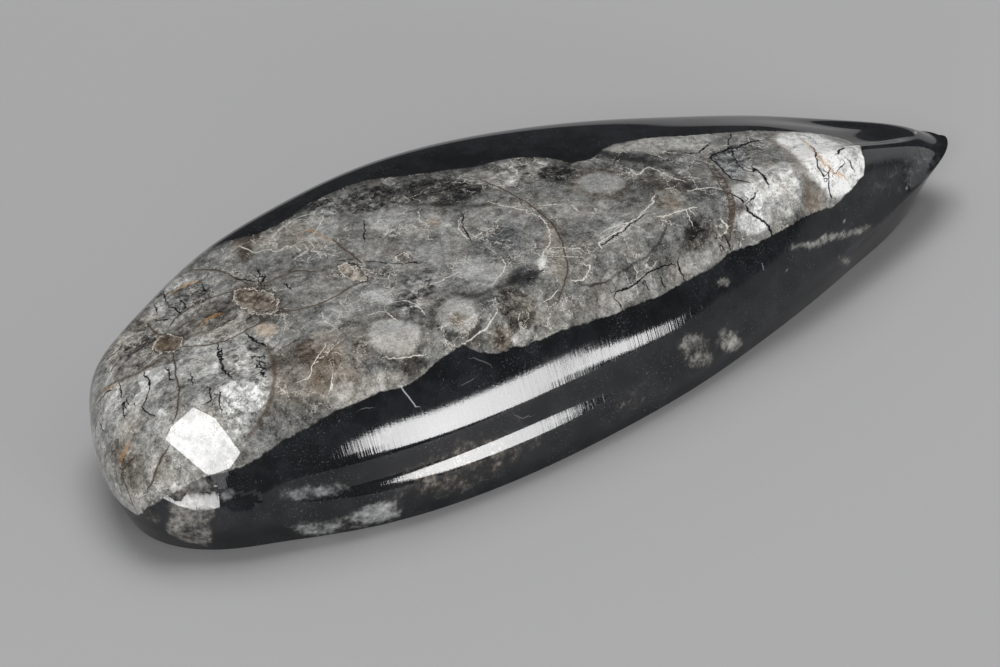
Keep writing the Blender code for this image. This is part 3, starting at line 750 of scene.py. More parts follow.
    patches: Tuple[Patch, ...] = (
        Patch((-56.3, -4.0, 16.2), (6.2, -7.8, 1.8), (-5.4, -7.6, -10.9), tone=0.63, warmth=0.1, mottle=0.8),
        Patch((-52.0, 9.4, 15.1), (4.3, 0.0, 1.3), (-1.3, -6.8, 1.2), tone=0.46, warmth=0.25, mottle=1.0),
        Patch((-43.0, 11.9, 17.5), (3.8, -1.2, 1.2), (-1.3, -4.7, 0.3), tone=0.50, warmth=0.1, mottle=1.0),
        Patch((-55.6, -2.7, 16.4), (1.4, -2.8, 1.0), (-1.9, -3.6, -0.7), tone=0.68, warmth=-0.05),
        Patch((-61.4, -6.4, 11.7), (1.1, -1.9, 1.0), (-1.2, -3.2, -3.5), tone=0.53, warmth=0.4),
        Patch((-48.8, -4.4, 18.2), (2.8, -1.8, 0.5), (-1.6, -3.8, 0.4), tone=0.70, warmth=0.05),
        Patch((-54.2, -11.7, 16.0), (2.3, -1.6, -0.1), (-0.9, -1.2, -2.1), tone=0.60, warmth=0.05),
        Patch((-42.6, 2.7, 18.8), (5.6, -2.3, 0.6), (-1.4, -3.6, 0.0),
              tone=0.43, warmth=0.25, mottle=0.8, softness=0.25),
        Patch((-37.4, 2.8, 19.3), (1.2, -1.6, 0.4), (-1.8, -3.3, 0.3), tone=0.36, warmth=0.3),
        Patch((-31.1, -1.7, 20.6), (4.7, -2.3, 0.3), (-1.4, -2.9, -0.1),
              tone=0.47, warmth=0.1, mottle=0.6, softness=0.3),
        Patch((-41.4, -14.3, 19.7), (3.0, -1.9, -0.2), (-1.4, -1.9, -3.2), tone=0.42, warmth=0.4),
        Patch((-37.5, -17.0, 19.1), (3.1, -0.5, 0.3), (-0.1, -1.3, -1.7), tone=0.44, warmth=0.45),
        Patch((-36.6, -18.4, 17.6), (4.6, -0.8, 0.2), (0.0, -0.6, -0.9), tone=0.50, warmth=0.35),
        Patch((-26.8, 11.0, 20.4), (5.2, -2.9, 0.4), (-1.5, -3.3, 0.1), tone=0.49, warmth=0.3),
        Patch((-33.5, 13.3, 19.6), (0.7, -0.8, 0.2), (-1.5, -2.8, 0.0), tone=0.25, warmth=0.45),
        Patch((-17.9, 1.3, 21.1), (6.0, -5.0, 0.2), (-3.0, -5.0, -0.1), tone=0.49, warmth=0.08),
        Patch((-7.7, 7.9, 21.2), (4.5, -2.7, 0.0), (-1.6, -2.8, 0.1), tone=0.22, warmth=0.1, mottle=1.0),
        Patch((-18.8, 13.5, 20.7), (4.5, -2.8, 0.3), (-1.3, -2.6, 0.0), tone=0.32, warmth=0.1, mottle=1.1),
        Patch((-48.1, -13.2, 19.1), (2.5, -1.8, -1.0), (-3.0, -1.7, -4.5),
              tone=0.66, warmth=0.08, mottle=1.2),
        Patch((-48.7, -12.5, 18.0), (1.1, -2.0, 0.0), (-1.7, -1.2, -2.0), tone=0.76, warmth=0.02, mottle=1.2),
        Patch((-16.3, 5.6, 21.0), (2.3, -2.0, 0.1), (-1.1, -1.8, 0.0), tone=0.58, warmth=0.0),
        Patch((-7.2, -7.3, 21.3), (1.9, -1.4, 0.0), (-2.0, -3.2, -0.1), tone=0.37, warmth=-0.15),
        Patch((-21.2, -9.0, 21.0), (1.7, -1.4, 0.0), (-1.2, -2.0, 0.0), tone=0.37, warmth=0.0, mottle=1.0),
        Patch((-33.2, -7.0, 20.4), (3.4, -1.3, 0.2), (-0.8, -1.8, 0.0), tone=0.56, warmth=0.0),
        Patch((-40.3, -3.9, 19.5), (0.9, -1.0, 0.2), (-0.8, -1.4, -0.1), tone=0.66, warmth=0.8),
        Patch((-37.8, -13.0, 20.4), (2.2, -1.9, 0.1), (-1.4, -2.4, -0.5), tone=0.36, warmth=0.65),
        Patch((-40.2, -16.6, 18.5), (1.0, -0.4, -0.2), (-0.5, -0.6, -1.0), tone=0.38, warmth=0.65),
        Patch((-34.8, -19.0, 17.1), (4.4, -0.6, 0.2), (0.0, -0.8, -1.3), tone=0.58, warmth=0.3, mottle=0.6),
        Patch((-25.9, -8.1, 20.8), (1.6, -1.3, 0.1), (-1.0, -1.7, 0.0), tone=0.60, warmth=0.0),
        Patch((-33.6, -15.9, 20.5), (1.0, -0.6, -0.1), (-1.0, -1.6, -1.2),
              tone=0.36, warmth=0.35, mottle=1.0),
        Patch((-16.5, -20.0, 17.7), (1.6, -0.3, -0.5), (-0.5, -0.7, -1.2), tone=0.24, warmth=0.5, mottle=1.0),
        Patch((-24.1, 10.3, 20.5), (1.5, -1.4, 0.1), (-1.5, -2.7, 0.0), tone=0.60, warmth=0.12),
        Patch((-31.9, 15.8, 19.5), (1.9, -1.2, 0.4), (-0.7, -1.6, 0.1), tone=0.30, warmth=0.6),
        Patch((-16.1, 13.1, 20.8), (3.4, -1.7, 0.2), (-1.0, -2.0, 0.0), tone=0.26, warmth=0.1, mottle=1.1),
        Patch((38.2, -4.9, 17.1), (3.3, -0.2, -1.2), (-2.4, -3.4, 0.9), tone=0.90, warmth=0.0, mottle=0.5),
        Patch((40.3, -10.7, 16.7), (2.1, -0.4, -2.0), (-2.0, -1.2, -0.5), tone=0.95, warmth=0.0, mottle=0.4),
        Patch((-12.5, 2.3, 21.2), (1.8, -1.4, 0.0), (-1.2, -2.0, 0.0),
              tone=0.60, warmth=0.05, mottle=0.5, softness=0.35),
        Patch((-12.6, 2.1, 21.2), (0.7, -0.6, 0.0), (-0.5, -0.8, 0.0), tone=0.42, warmth=0.5),
        Patch((2.2, 5.9, 21.0), (3.7, -1.7, -0.1), (-1.7, -3.2, 0.2), tone=0.47, warmth=0.1, mottle=1.0),
        Patch((-14.1, -11.5, 21.2), (2.3, -1.8, 0.0), (-1.9, -3.1, -0.1), tone=0.57, warmth=0.0),
        Patch((-13.2, -18.6, 19.6), (2.4, 0.0, -0.1), (-0.1, -1.6, -2.2), tone=0.28, warmth=0.3, mottle=1.0),
        Patch((-9.8, -14.9, 21.1), (2.1, -0.1, 0.0), (-0.5, -1.5, -0.2), tone=0.18, warmth=-0.3),
        Patch((-24.1, -10.8, 20.9), (1.1, -0.9, 0.0), (-1.1, -1.9, 0.0), tone=0.46, warmth=0.0, mottle=1.4),
        Patch((-20.3, -16.9, 20.8), (3.0, -1.2, -0.6), (-1.5, -2.2, -1.7),
              tone=0.20, warmth=0.2, softness=0.3),
        Patch((-20.3, -16.9, 20.8), (2.6, -1.0, -0.5), (-1.3, -1.9, -1.3),
              tone=0.64, warmth=0.1, mottle=0.3, softness=0.3),
        Patch((-20.6, -17.3, 20.6), (0.9, -0.4, -0.2), (-0.5, -0.8, -0.5), tone=0.42, warmth=0.5),
        Patch((-28.9, -15.6, 20.8), (3.2, -1.8, -0.4), (-1.7, -2.7, -1.5),
              tone=0.24, warmth=0.2, softness=0.3),
        Patch((-28.9, -15.6, 20.8), (2.8, -1.6, -0.3), (-1.5, -2.4, -1.2),
              tone=0.66, warmth=0.1, mottle=0.35, softness=0.3),
        Patch((-35.8, -11.4, 20.4), (1.4, -1.4, 0.2), (-0.9, -1.6, 0.1), tone=0.46, warmth=0.4),
        Patch((-28.4, -19.6, 17.9), (1.6, -0.5, -0.2), (-0.2, -0.8, -1.3),
              tone=0.12, warmth=0.2, softness=0.9),
        Patch((-5.8, -9.8, 21.2), (1.7, -1.2, 0.0), (-3.0, -4.8, -0.1), tone=0.48, warmth=0.05),
        Patch((-4.0, -12.4, 21.1), (1.1, -0.3, 0.0), (-2.4, -5.3, -1.1), tone=0.52, warmth=0.35),
        Patch((6.4, 2.6, 21.0), (2.0, -1.5, 0.0), (-1.8, -2.8, 0.1), tone=0.20, warmth=0.1, mottle=1.0),
        Patch((9.2, -2.9, 21.0), (3.0, -2.0, -0.1), (-2.1, -3.2, 0.0), tone=0.30, warmth=0.4, softness=0.25),
        Patch((9.2, -2.9, 21.0), (2.3, -1.6, -0.1), (-1.5, -2.2, 0.0),
              tone=0.56, warmth=0.05, mottle=0.3, softness=0.3),
        Patch((15.2, -7.4, 20.7), (2.3, -2.6, -0.3), (-1.5, -1.8, 0.0), tone=0.33, warmth=0.25),
        Patch((14.0, -11.3, 20.6), (1.5, -0.9, -0.2), (-0.9, -1.3, 0.0), tone=0.38, warmth=0.5),
        Patch((6.2, -12.6, 20.9), (5.4, 1.1, -0.2), (-0.7, -2.5, -0.3), tone=0.54, warmth=0.05),
        Patch((14.4, -16.5, 18.3), (1.7, -0.1, -0.6), (-0.6, -0.9, -1.1), tone=0.20, warmth=0.1, mottle=1.0),
        Patch((13.1, -14.8, 20.0), (1.9, -0.4, -0.5), (-0.6, -0.8, -0.4), tone=0.24, warmth=-0.2),
        Patch((18.8, -13.8, 19.8), (2.6, -0.6, -0.7), (-1.7, -2.4, -1.7), tone=0.35, warmth=0.0),
        Patch((12.6, -17.4, 17.6), (2.0, 0.2, -0.4), (-0.1, -0.3, -0.5), tone=0.28, warmth=0.3),
        Patch((12.1, -18.4, 16.0), (4.0, 0.5, -0.7), (0.0, -0.5, -1.0), tone=0.56, warmth=0.15),
        Patch((20.6, 2.2, 20.0), (7.1, -1.8, -0.9), (-1.2, -2.1, 0.3), tone=0.57, warmth=0.12),
        Patch((24.0, 0.6, 19.7), (2.9, -0.7, -0.4), (-0.9, -1.6, 0.2), tone=0.68, warmth=0.15),
        Patch((15.5, 1.3, 20.6), (4.1, -3.5, -0.3), (-0.8, -1.1, 0.1), tone=0.20, warmth=0.0),
        Patch((1.0, -17.2, 19.9), (4.9, 0.8, 0.1), (0.3, -1.3, -1.6), tone=0.45, warmth=0.15),
        Patch((1.5, -19.5, 16.7), (5.1, 0.6, 0.1), (0.2, -0.5, -1.0), tone=0.45, warmth=0.1),
        Patch((26.5, -6.7, 19.4), (2.2, -1.1, -0.3), (-2.8, -4.0, 0.3), tone=0.44, warmth=-0.3, mottle=0.9),
        Patch((32.3, -6.4, 18.5), (1.8, -0.8, -0.3), (-1.5, -2.2, 0.3), tone=0.47, warmth=0.05),
        Patch((29.1, -10.6, 19.1), (1.5, -0.8, -0.2), (-1.4, -2.0, -0.1), tone=0.52, warmth=0.35),
        Patch((23.8, -13.2, 19.3), (1.9, -0.4, -0.5), (-0.9, -1.3, -0.8),
              tone=0.70, warmth=-0.08, mottle=0.6),
        Patch((28.2, -13.8, 18.1), (3.7, 0.0, -1.4), (-1.6, -2.2, -3.0), tone=0.74, warmth=0.08, mottle=0.8),
        Patch((31.2, -10.9, 18.9), (1.1, -0.5, -0.2), (-1.0, -1.4, -0.1), tone=0.80, warmth=0.0),
        Patch((23.4, -15.9, 16.4), (2.6, 0.0, -1.0), (-0.6, -0.8, -1.4), tone=0.86, warmth=0.02, mottle=0.7),
        Patch((39.8, -11.0, 16.7), (5.7, 0.9, -2.6), (-1.8, -2.5, -3.2), tone=0.92, warmth=0.05, mottle=0.8),
        Patch((34.0, -14.0, 15.1), (1.4, 0.2, -0.5), (-0.5, -1.0, -1.9), tone=0.52, warmth=0.4),
        Patch((47.7, -8.4, 14.3), (1.9, -0.1, -1.3), (-2.1, -1.8, -0.5), tone=0.40, warmth=0.3, mottle=1.1),
        Patch((-6.6, -13.8, 21.1), (0.5, -0.3, 0.0), (-0.8, -1.2, -0.1), tone=0.90, warmth=0.0),
        Patch((-14.1, -20.5, 16.9), (2.0, -0.1, -0.4), (-0.2, -0.6, -1.1), tone=0.18, softness=0.3),
        Patch((-14.1, -20.5, 16.9), (1.5, -0.1, -0.3), (-0.1, -0.4, -0.7),
              tone=0.58, warmth=0.05, softness=0.3),
        Patch((-49.45, 4.5, 16.9), (1.6, 0.0, 0.5), (0.0, 2.4, -0.6),
              tone=0.34, warmth=0.9, mottle=0.9, crumb=1.0,
              softness=0.8),
        Patch((-37.65, 2.5, 19.2), (1.7, 0.3, 0.4), (-0.7, 3.9, -0.2),
              tone=0.34, warmth=0.7, mottle=0.9, crumb=1.0,
              softness=0.8),
        Patch((-26.35, -1.0, 20.8), (0.9, 0.2, 0.1), (-0.4, 2.1, 0.0),
              tone=0.46, warmth=0.6, mottle=0.9, crumb=1.0,
              softness=0.8),
        Patch((-19.5, -2.4, 21.1), (0.9, 0.0, 0.0), (0.0, 1.2, 0.0),
              tone=0.30, warmth=0.2, mottle=0.9, crumb=0.8,
              softness=0.3),
    )
    # Patches of the dark ground's own tones, a few of them painted highlights and a painted reflection, as
    # marked below.
    ground_patches: Tuple[Patch, ...] = (
        Patch((-58.4, -15.8, 5.4), (2.4, -1.5, -0.4), (0.4, 1.8, -3.8),
              tone=0.37, warmth=0.12, mottle=0.9, power=6.0, softness=0.3),
        Patch((-61.7, -11.4, 4.9), (0.9, -2.0, 0.8), (-0.2, 0.4, -3.0), tone=0.12, warmth=0.3, mottle=1.0),
        Patch((-25.4, -25.0, 5.4), (8.6, -0.6, 0.4), (0.6, 0.4, -3.2),
              tone=0.22, warmth=0.4, mottle=0.5, softness=0.9),
        # Painted highlights, this patch and the next three: pale bluish glows where the lights' sheen runs on
        # along the low front flank and beside the end's lower facet.
        Patch((-37.7, -23.3, 2.4), (3.1, -0.7, 0.0), (0.5, 0.6, -2.2),
              tone=0.52, warmth=-0.3, mottle=0.8, softness=0.9),
        Patch((-44.3, -20.9, 1.9), (3.4, -1.1, -0.4), (0.2, 0.5, -1.7),
              tone=0.38, warmth=-0.3, mottle=1.0, softness=0.9),
        Patch((-44.8, -20.8, 7.4), (3.8, -1.4, -0.4), (-0.1, -0.3, -1.0),
              tone=0.38, warmth=-0.5, mottle=0.7, softness=0.9),
        Patch((-54.1, -17.3, 8.6), (1.0, -0.3, 0.4), (0.1, -0.4, -0.7),
              tone=0.42, warmth=-0.4, mottle=0.2, softness=0.9),
        Patch((10.0, -22.6, 5.7), (2.6, 0.3, -1.3), (-0.2, -0.1, -2.0),
              tone=0.36, warmth=0.1, mottle=1.0, softness=0.7),
        Patch((15.7, -21.5, 4.2), (1.8, 0.8, -1.7), (-0.6, 0.2, -1.6),
              tone=0.36, warmth=0.1, mottle=1.0, softness=0.7),
        Patch((35.5, -15.9, 9.1), (7.7, 1.9, -2.2), (0.1, -0.2, -0.7),
              tone=0.40, warmth=0.0, mottle=0.5, softness=0.7),
        Patch((16.3, -19.5, 11.7), (1.4, 0.1, -0.6), (-0.3, -0.4, -1.0),
              tone=0.40, warmth=0.1, mottle=0.3, power=1.0, softness=0.3),
        # Painted reflection: a dim bluish band along the keel near the point, in place of a light's sheen
        # there.
        Patch((51.8, -9.5, 9.4), (7.5, 3.8, -1.3), (-0.4, 0.7, 1.6),
              tone=0.20, warmth=-0.5, mottle=0.3, softness=0.9),
        Patch((37.8, -15.1, 4.2), (1.7, 1.3, -1.4), (0.6, 0.8, -1.3), tone=0.36, warmth=0.0),
        Patch((26.4, -18.3, 9.1), (0.2, 0.0, -0.1), (-0.1, -0.1, -0.15), tone=0.5, warmth=0.0),
        Patch((37.5, -14.8, 10.3), (0.25, 0.05, -0.1), (-0.1, -0.1, -0.15), tone=0.5, warmth=0.0),
        Patch((51.0, -10.6, 8.2), (0.25, 0.05, -0.1), (-0.1, -0.1, -0.15), tone=0.5, warmth=0.0),
        Patch((58.7, -2.1, 9.6), (0.4, 0.1, -0.2), (-0.5, -0.7, 0.2), tone=0.6, warmth=0.0),
        Patch((-0.1, -24.2, 3.6), (4.4, 0.6, -0.3), (0.8, 0.4, -2.0),
              tone=0.16, warmth=0.1, mottle=0.7, softness=0.9),
    )

    def signed_border(self, surface: StoneSurface) -> np.ndarray:
        """Distance to the edge of the shell's section, positive within it."""
        curve = surface.snapped(surface.rounded(np.array(self.border), self.border_step, closed=True))
        curve = np.vstack([curve, curve[:1]])
        signed, _ = surface.distance_to(curve)
        below = surface.normals[:, 2] < -0.3
        return np.where(below, -np.abs(signed), signed)

    def lines(self, surface: StoneSurface, family: Family) -> np.ndarray:
        """Signed distance, distance and width of the nearest line of a family."""
        rows = np.zeros((len(surface.places), 3))
        rows[:, 0] = rows[:, 1] = self.far
        for trace in self.traces:
            if trace.family is not family:
                continue
            curve = surface.snapped(surface.rounded(np.array(trace.points), self.trace_step))
            signed, index = surface.distance_to(curve, self.trace_reach)
            closer = np.abs(signed) < rows[index, 1]
            kept = index[closer]
            rows[kept, 0] = signed[closer]
            rows[kept, 1] = np.abs(signed[closer])
            rows[kept, 2] = trace.width
        rows[rows[:, 1] > self.trace_reach, :2] = self.far
        return rows

    def wobbled(self, surface: StoneSurface) -> np.ndarray:
        """Places of the corners, shifted by a slow noise so that no patch is a plain oval."""
        shifts = [perlin.noise_vector(Vector(place) / self.wobble_size) for place in surface.places]
        return surface.places + self.wobble * np.array(shifts)

    def painted(
        self, surface: StoneSurface, places: np.ndarray, patches: Sequence[Patch], start: Triple
    ) -> np.ndarray:
        """Qualities laid on patch by patch.

        Args:
            surface: the stone.
            places: the corners' places, as the patches see them.
            patches: the patches, later ones over earlier ones.
            start: tone, warmth and mottle before any patch.

        Returns:
            Rows of tone, warmth, mottle and crumb.
        """
        rows = np.tile(np.array([*start, 0.0]), (len(places), 1))
        for patch in patches:
            arms = np.array([patch.along, patch.across])
            upright = surface.normal_at(np.array([patch.place]))[0]
            shift = places - np.array(patch.place)
            shares = np.abs(shift @ np.linalg.pinv(arms))
            out = (shares ** patch.power).sum(axis=1) ** (1.0 / patch.power)
            depth = np.abs(shift @ upright) < self.patch_reach + np.linalg.norm(arms, axis=1).max()
            same_side = (surface.normals @ upright > 0.0) & depth
            share = smoothstep(1.0 + patch.softness / 2.0, 1.0 - patch.softness / 2.0, out) * same_side
            for column, value in enumerate((patch.tone, patch.warmth, patch.mottle, patch.crumb)):
                if value is not None:
                    rows[:, column] += share * (value - rows[:, column])
        return rows

    def mark(self, surface: StoneSurface, mesh: bpy.types.Mesh) -> None:
        """Write every marking to the mesh as attributes for the finish to read."""
        wobbled = self.wobbled(surface)
        calcite = self.painted(surface, wobbled, self.patches, (self.base_tone, 0.1, self.base_mottle))
        ground = self.painted(surface, wobbled, self.ground_patches, (0.0, 0.0, 0.0))
        self.write(mesh, "shell", "FLOAT", self.signed_border(surface))
        self.write(mesh, "calcite", "FLOAT_VECTOR", calcite[:, :3])
        self.write(mesh, "ground", "FLOAT_VECTOR", np.stack([ground[:, 0], ground[:, 1], calcite[:, 3]], 1))
        for family in Family:
            self.write(mesh, family.value, "FLOAT_VECTOR", self.lines(surface, family))

    @staticmethod
    def write(mesh: bpy.types.Mesh, name: str, kind: str, values: np.ndarray) -> None:
        """Keep one array on the mesh's corners."""
        layer = mesh.attributes.new(name, kind, "POINT")
        layer.data.foreach_set("value" if kind == "FLOAT" else "vector", values.astype(np.float32).ravel())


# ---------------------------------------------------------------------- finish

Term = Union["Shade", float]


class Shade:
    """A socket of a node tree, with arithmetic that adds Math nodes."""

    def __init__(self, net: "Net", socket: bpy.types.NodeSocket) -> None:
        """Wrap a socket of the net's tree."""
        self.net = net
        self.socket = socket

    def maths(self, operation: str, *terms: Term, clamp: bool = False) -> "Shade":
        """Math node of an operation on the terms."""
        return self.net.add(
            "ShaderNodeMath", {"operation": operation, "use_clamp": clamp}, dict(enumerate(terms)), 0
        )

    def __add__(self, other: Term) -> "Shade":
        """Sum."""
        return self.maths("ADD", self, other)

    __radd__ = __add__

    def __mul__(self, other: Term) -> "Shade":
        """Product."""
        return self.maths("MULTIPLY", self, other)

    __rmul__ = __mul__

    def __sub__(self, other: Term) -> "Shade":
        """Difference."""
        return self.maths("SUBTRACT", self, other)

    def __rsub__(self, other: Term) -> "Shade":
        """Difference from a number."""
        return self.maths("SUBTRACT", other, self)

    def __truediv__(self, other: Term) -> "Shade":
        """Quotient."""
        return self.maths("DIVIDE", self, other)

    def __abs__(self) -> "Shade":
        """Size without sign."""
        return self.maths("ABSOLUTE", self)

    def most(self, other: Term) -> "Shade":
        """Larger of two values."""
        return self.maths("MAXIMUM", self, other)

    def least(self, other: Term) -> "Shade":
        """Smaller of two values."""
        return self.maths("MINIMUM", self, other)

    def held(self) -> "Shade":
        """Value kept within 0 and 1."""
        return self.maths("ADD", self, 0.0, clamp=True)

    def step(self, low: Term, high: Term, start: float = 0.0, end: float = 1.0) -> "Shade":
        """Smooth change from start to end as the value passes from low to high."""
        return self.net.add(
            "ShaderNodeMapRange",
            {"interpolation_type": "SMOOTHSTEP"},
            {"Value": self, "From Min": low, "From Max": high, "To Min": start, "To Max": end},
            "Result",
        )


class Net:
    """Node tree of a material or of the room."""

    def __init__(self, owner: Union[bpy.types.Material, bpy.types.World]) -> None:
        """Start from an empty tree."""
        owner.use_nodes = True
        self.tree = owner.node_tree
        self.tree.nodes.clear()

    def add(self, kind: str, settings: Dict, inputs: Dict, output: Union[int, str]) -> Shade:
        """Add a node.

        Args:
            kind: the node's type.
            settings: its properties, set first; "stops" fills a colour ramp.
            inputs: values or links of its sockets, by name or number.
            output: the socket that is wanted, by name or number.

        Returns:
            The wanted output socket.
        """
        node = self.tree.nodes.new(kind)
        for name, value in settings.items():
            if name == "stops":
                self.fill_ramp(node.color_ramp, value)
            else:
                setattr(node, name, value)
        for name, value in inputs.items():
            if isinstance(value, Shade):
                self.tree.links.new(node.inputs[name], value.socket)
            else:
                node.inputs[name].default_value = value
        return Shade(self, node.outputs[output])

    @staticmethod
    def fill_ramp(ramp: bpy.types.ColorRamp, stops: Sequence[Tuple[float, Triple]]) -> None:
        """Set a ramp's stops."""
        while len(ramp.elements) < len(stops):
            ramp.elements.new(1.0)
        for element, (position, colour) in zip(ramp.elements, stops):
            element.position = position
            element.color = (*colour, 1.0)

    def mix(self, share: Term, first: Union[Shade, Triple], second: Union[Shade, Triple]) -> Shade:
        """Blend of two colours."""
        colours = [value if isinstance(value, Shade) else (*value, 1.0) for value in (first, second)]
        return self.add(
            "ShaderNodeMix", {"data_type": "RGBA", "clamp_factor": True},
            {0: share, 6: colours[0], 7: colours[1]}, 2,
        )

    def noise(
        self, place: Shade, size: float, detail: float = 2.0, roughness: float = 0.5, output: int = 0
    ) -> Shade:
        """Noise from 0 to 1 with features of a size in the place's own units."""
        return self.add(
            "ShaderNodeTexNoise", {},
            {"Vector": place, "Scale": 1.0 / size, "Detail": detail, "Roughness": roughness}, output,
        )

    def shifted(self, place: Shade, shift: Shade, reach: float) -> Shade:
        """Place moved by a noise colour, by up to half the reach each way."""
        centred = self.add("ShaderNodeVectorMath", {"operation": "SUBTRACT"}, {0: shift, 1: (0.5, 0.5, 0.5)}, 0)
        scaled = self.scaled(centred, (reach, reach, reach))
        return self.add("ShaderNodeVectorMath", {"operation": "ADD"}, {0: place, 1: scaled}, 0)

    def cells(self, place: Shade, size: float, feature: str, output: str = "Distance") -> Shade:
        """Voronoi cells of a size."""
        return self.add(
            "ShaderNodeTexVoronoi", {"feature": feature}, {"Vector": place, "Scale": 1.0 / size}, output
        )

    def attribute(self, name: str, output: str = "Fac") -> Shade:
        """Value kept on the mesh's corners."""
        return self.add("ShaderNodeAttribute", {"attribute_name": name}, {}, output)

    def parts(self, vector: Shade) -> Tuple[Shade, Shade, Shade]:
        """The three numbers of a vector."""
        split = self.add("ShaderNodeSeparateXYZ", {}, {0: vector}, 0)
        outputs = split.socket.node.outputs
        return split, Shade(self, outputs[1]), Shade(self, outputs[2])

    def scaled(self, vector: Shade, by: Triple) -> Shade:
        """Vector multiplied number by number."""
        return self.add("ShaderNodeVectorMath", {"operation": "MULTIPLY"}, {0: vector, 1: by}, 0)

    def ramp(self, share: Shade, stops: Sequence[Tuple[float, Triple]]) -> Shade:
        """Colour read along a ramp."""
        return self.add("ShaderNodeValToRGB", {"stops": stops}, {0: share}, 0)

    def finish(self, surface: Shade, output: str = "ShaderNodeOutputMaterial") -> None:
        """Send a shader to the output."""
        last = self.tree.nodes.new(output)
        self.tree.links.new(last.inputs["Surface"], surface.socket)


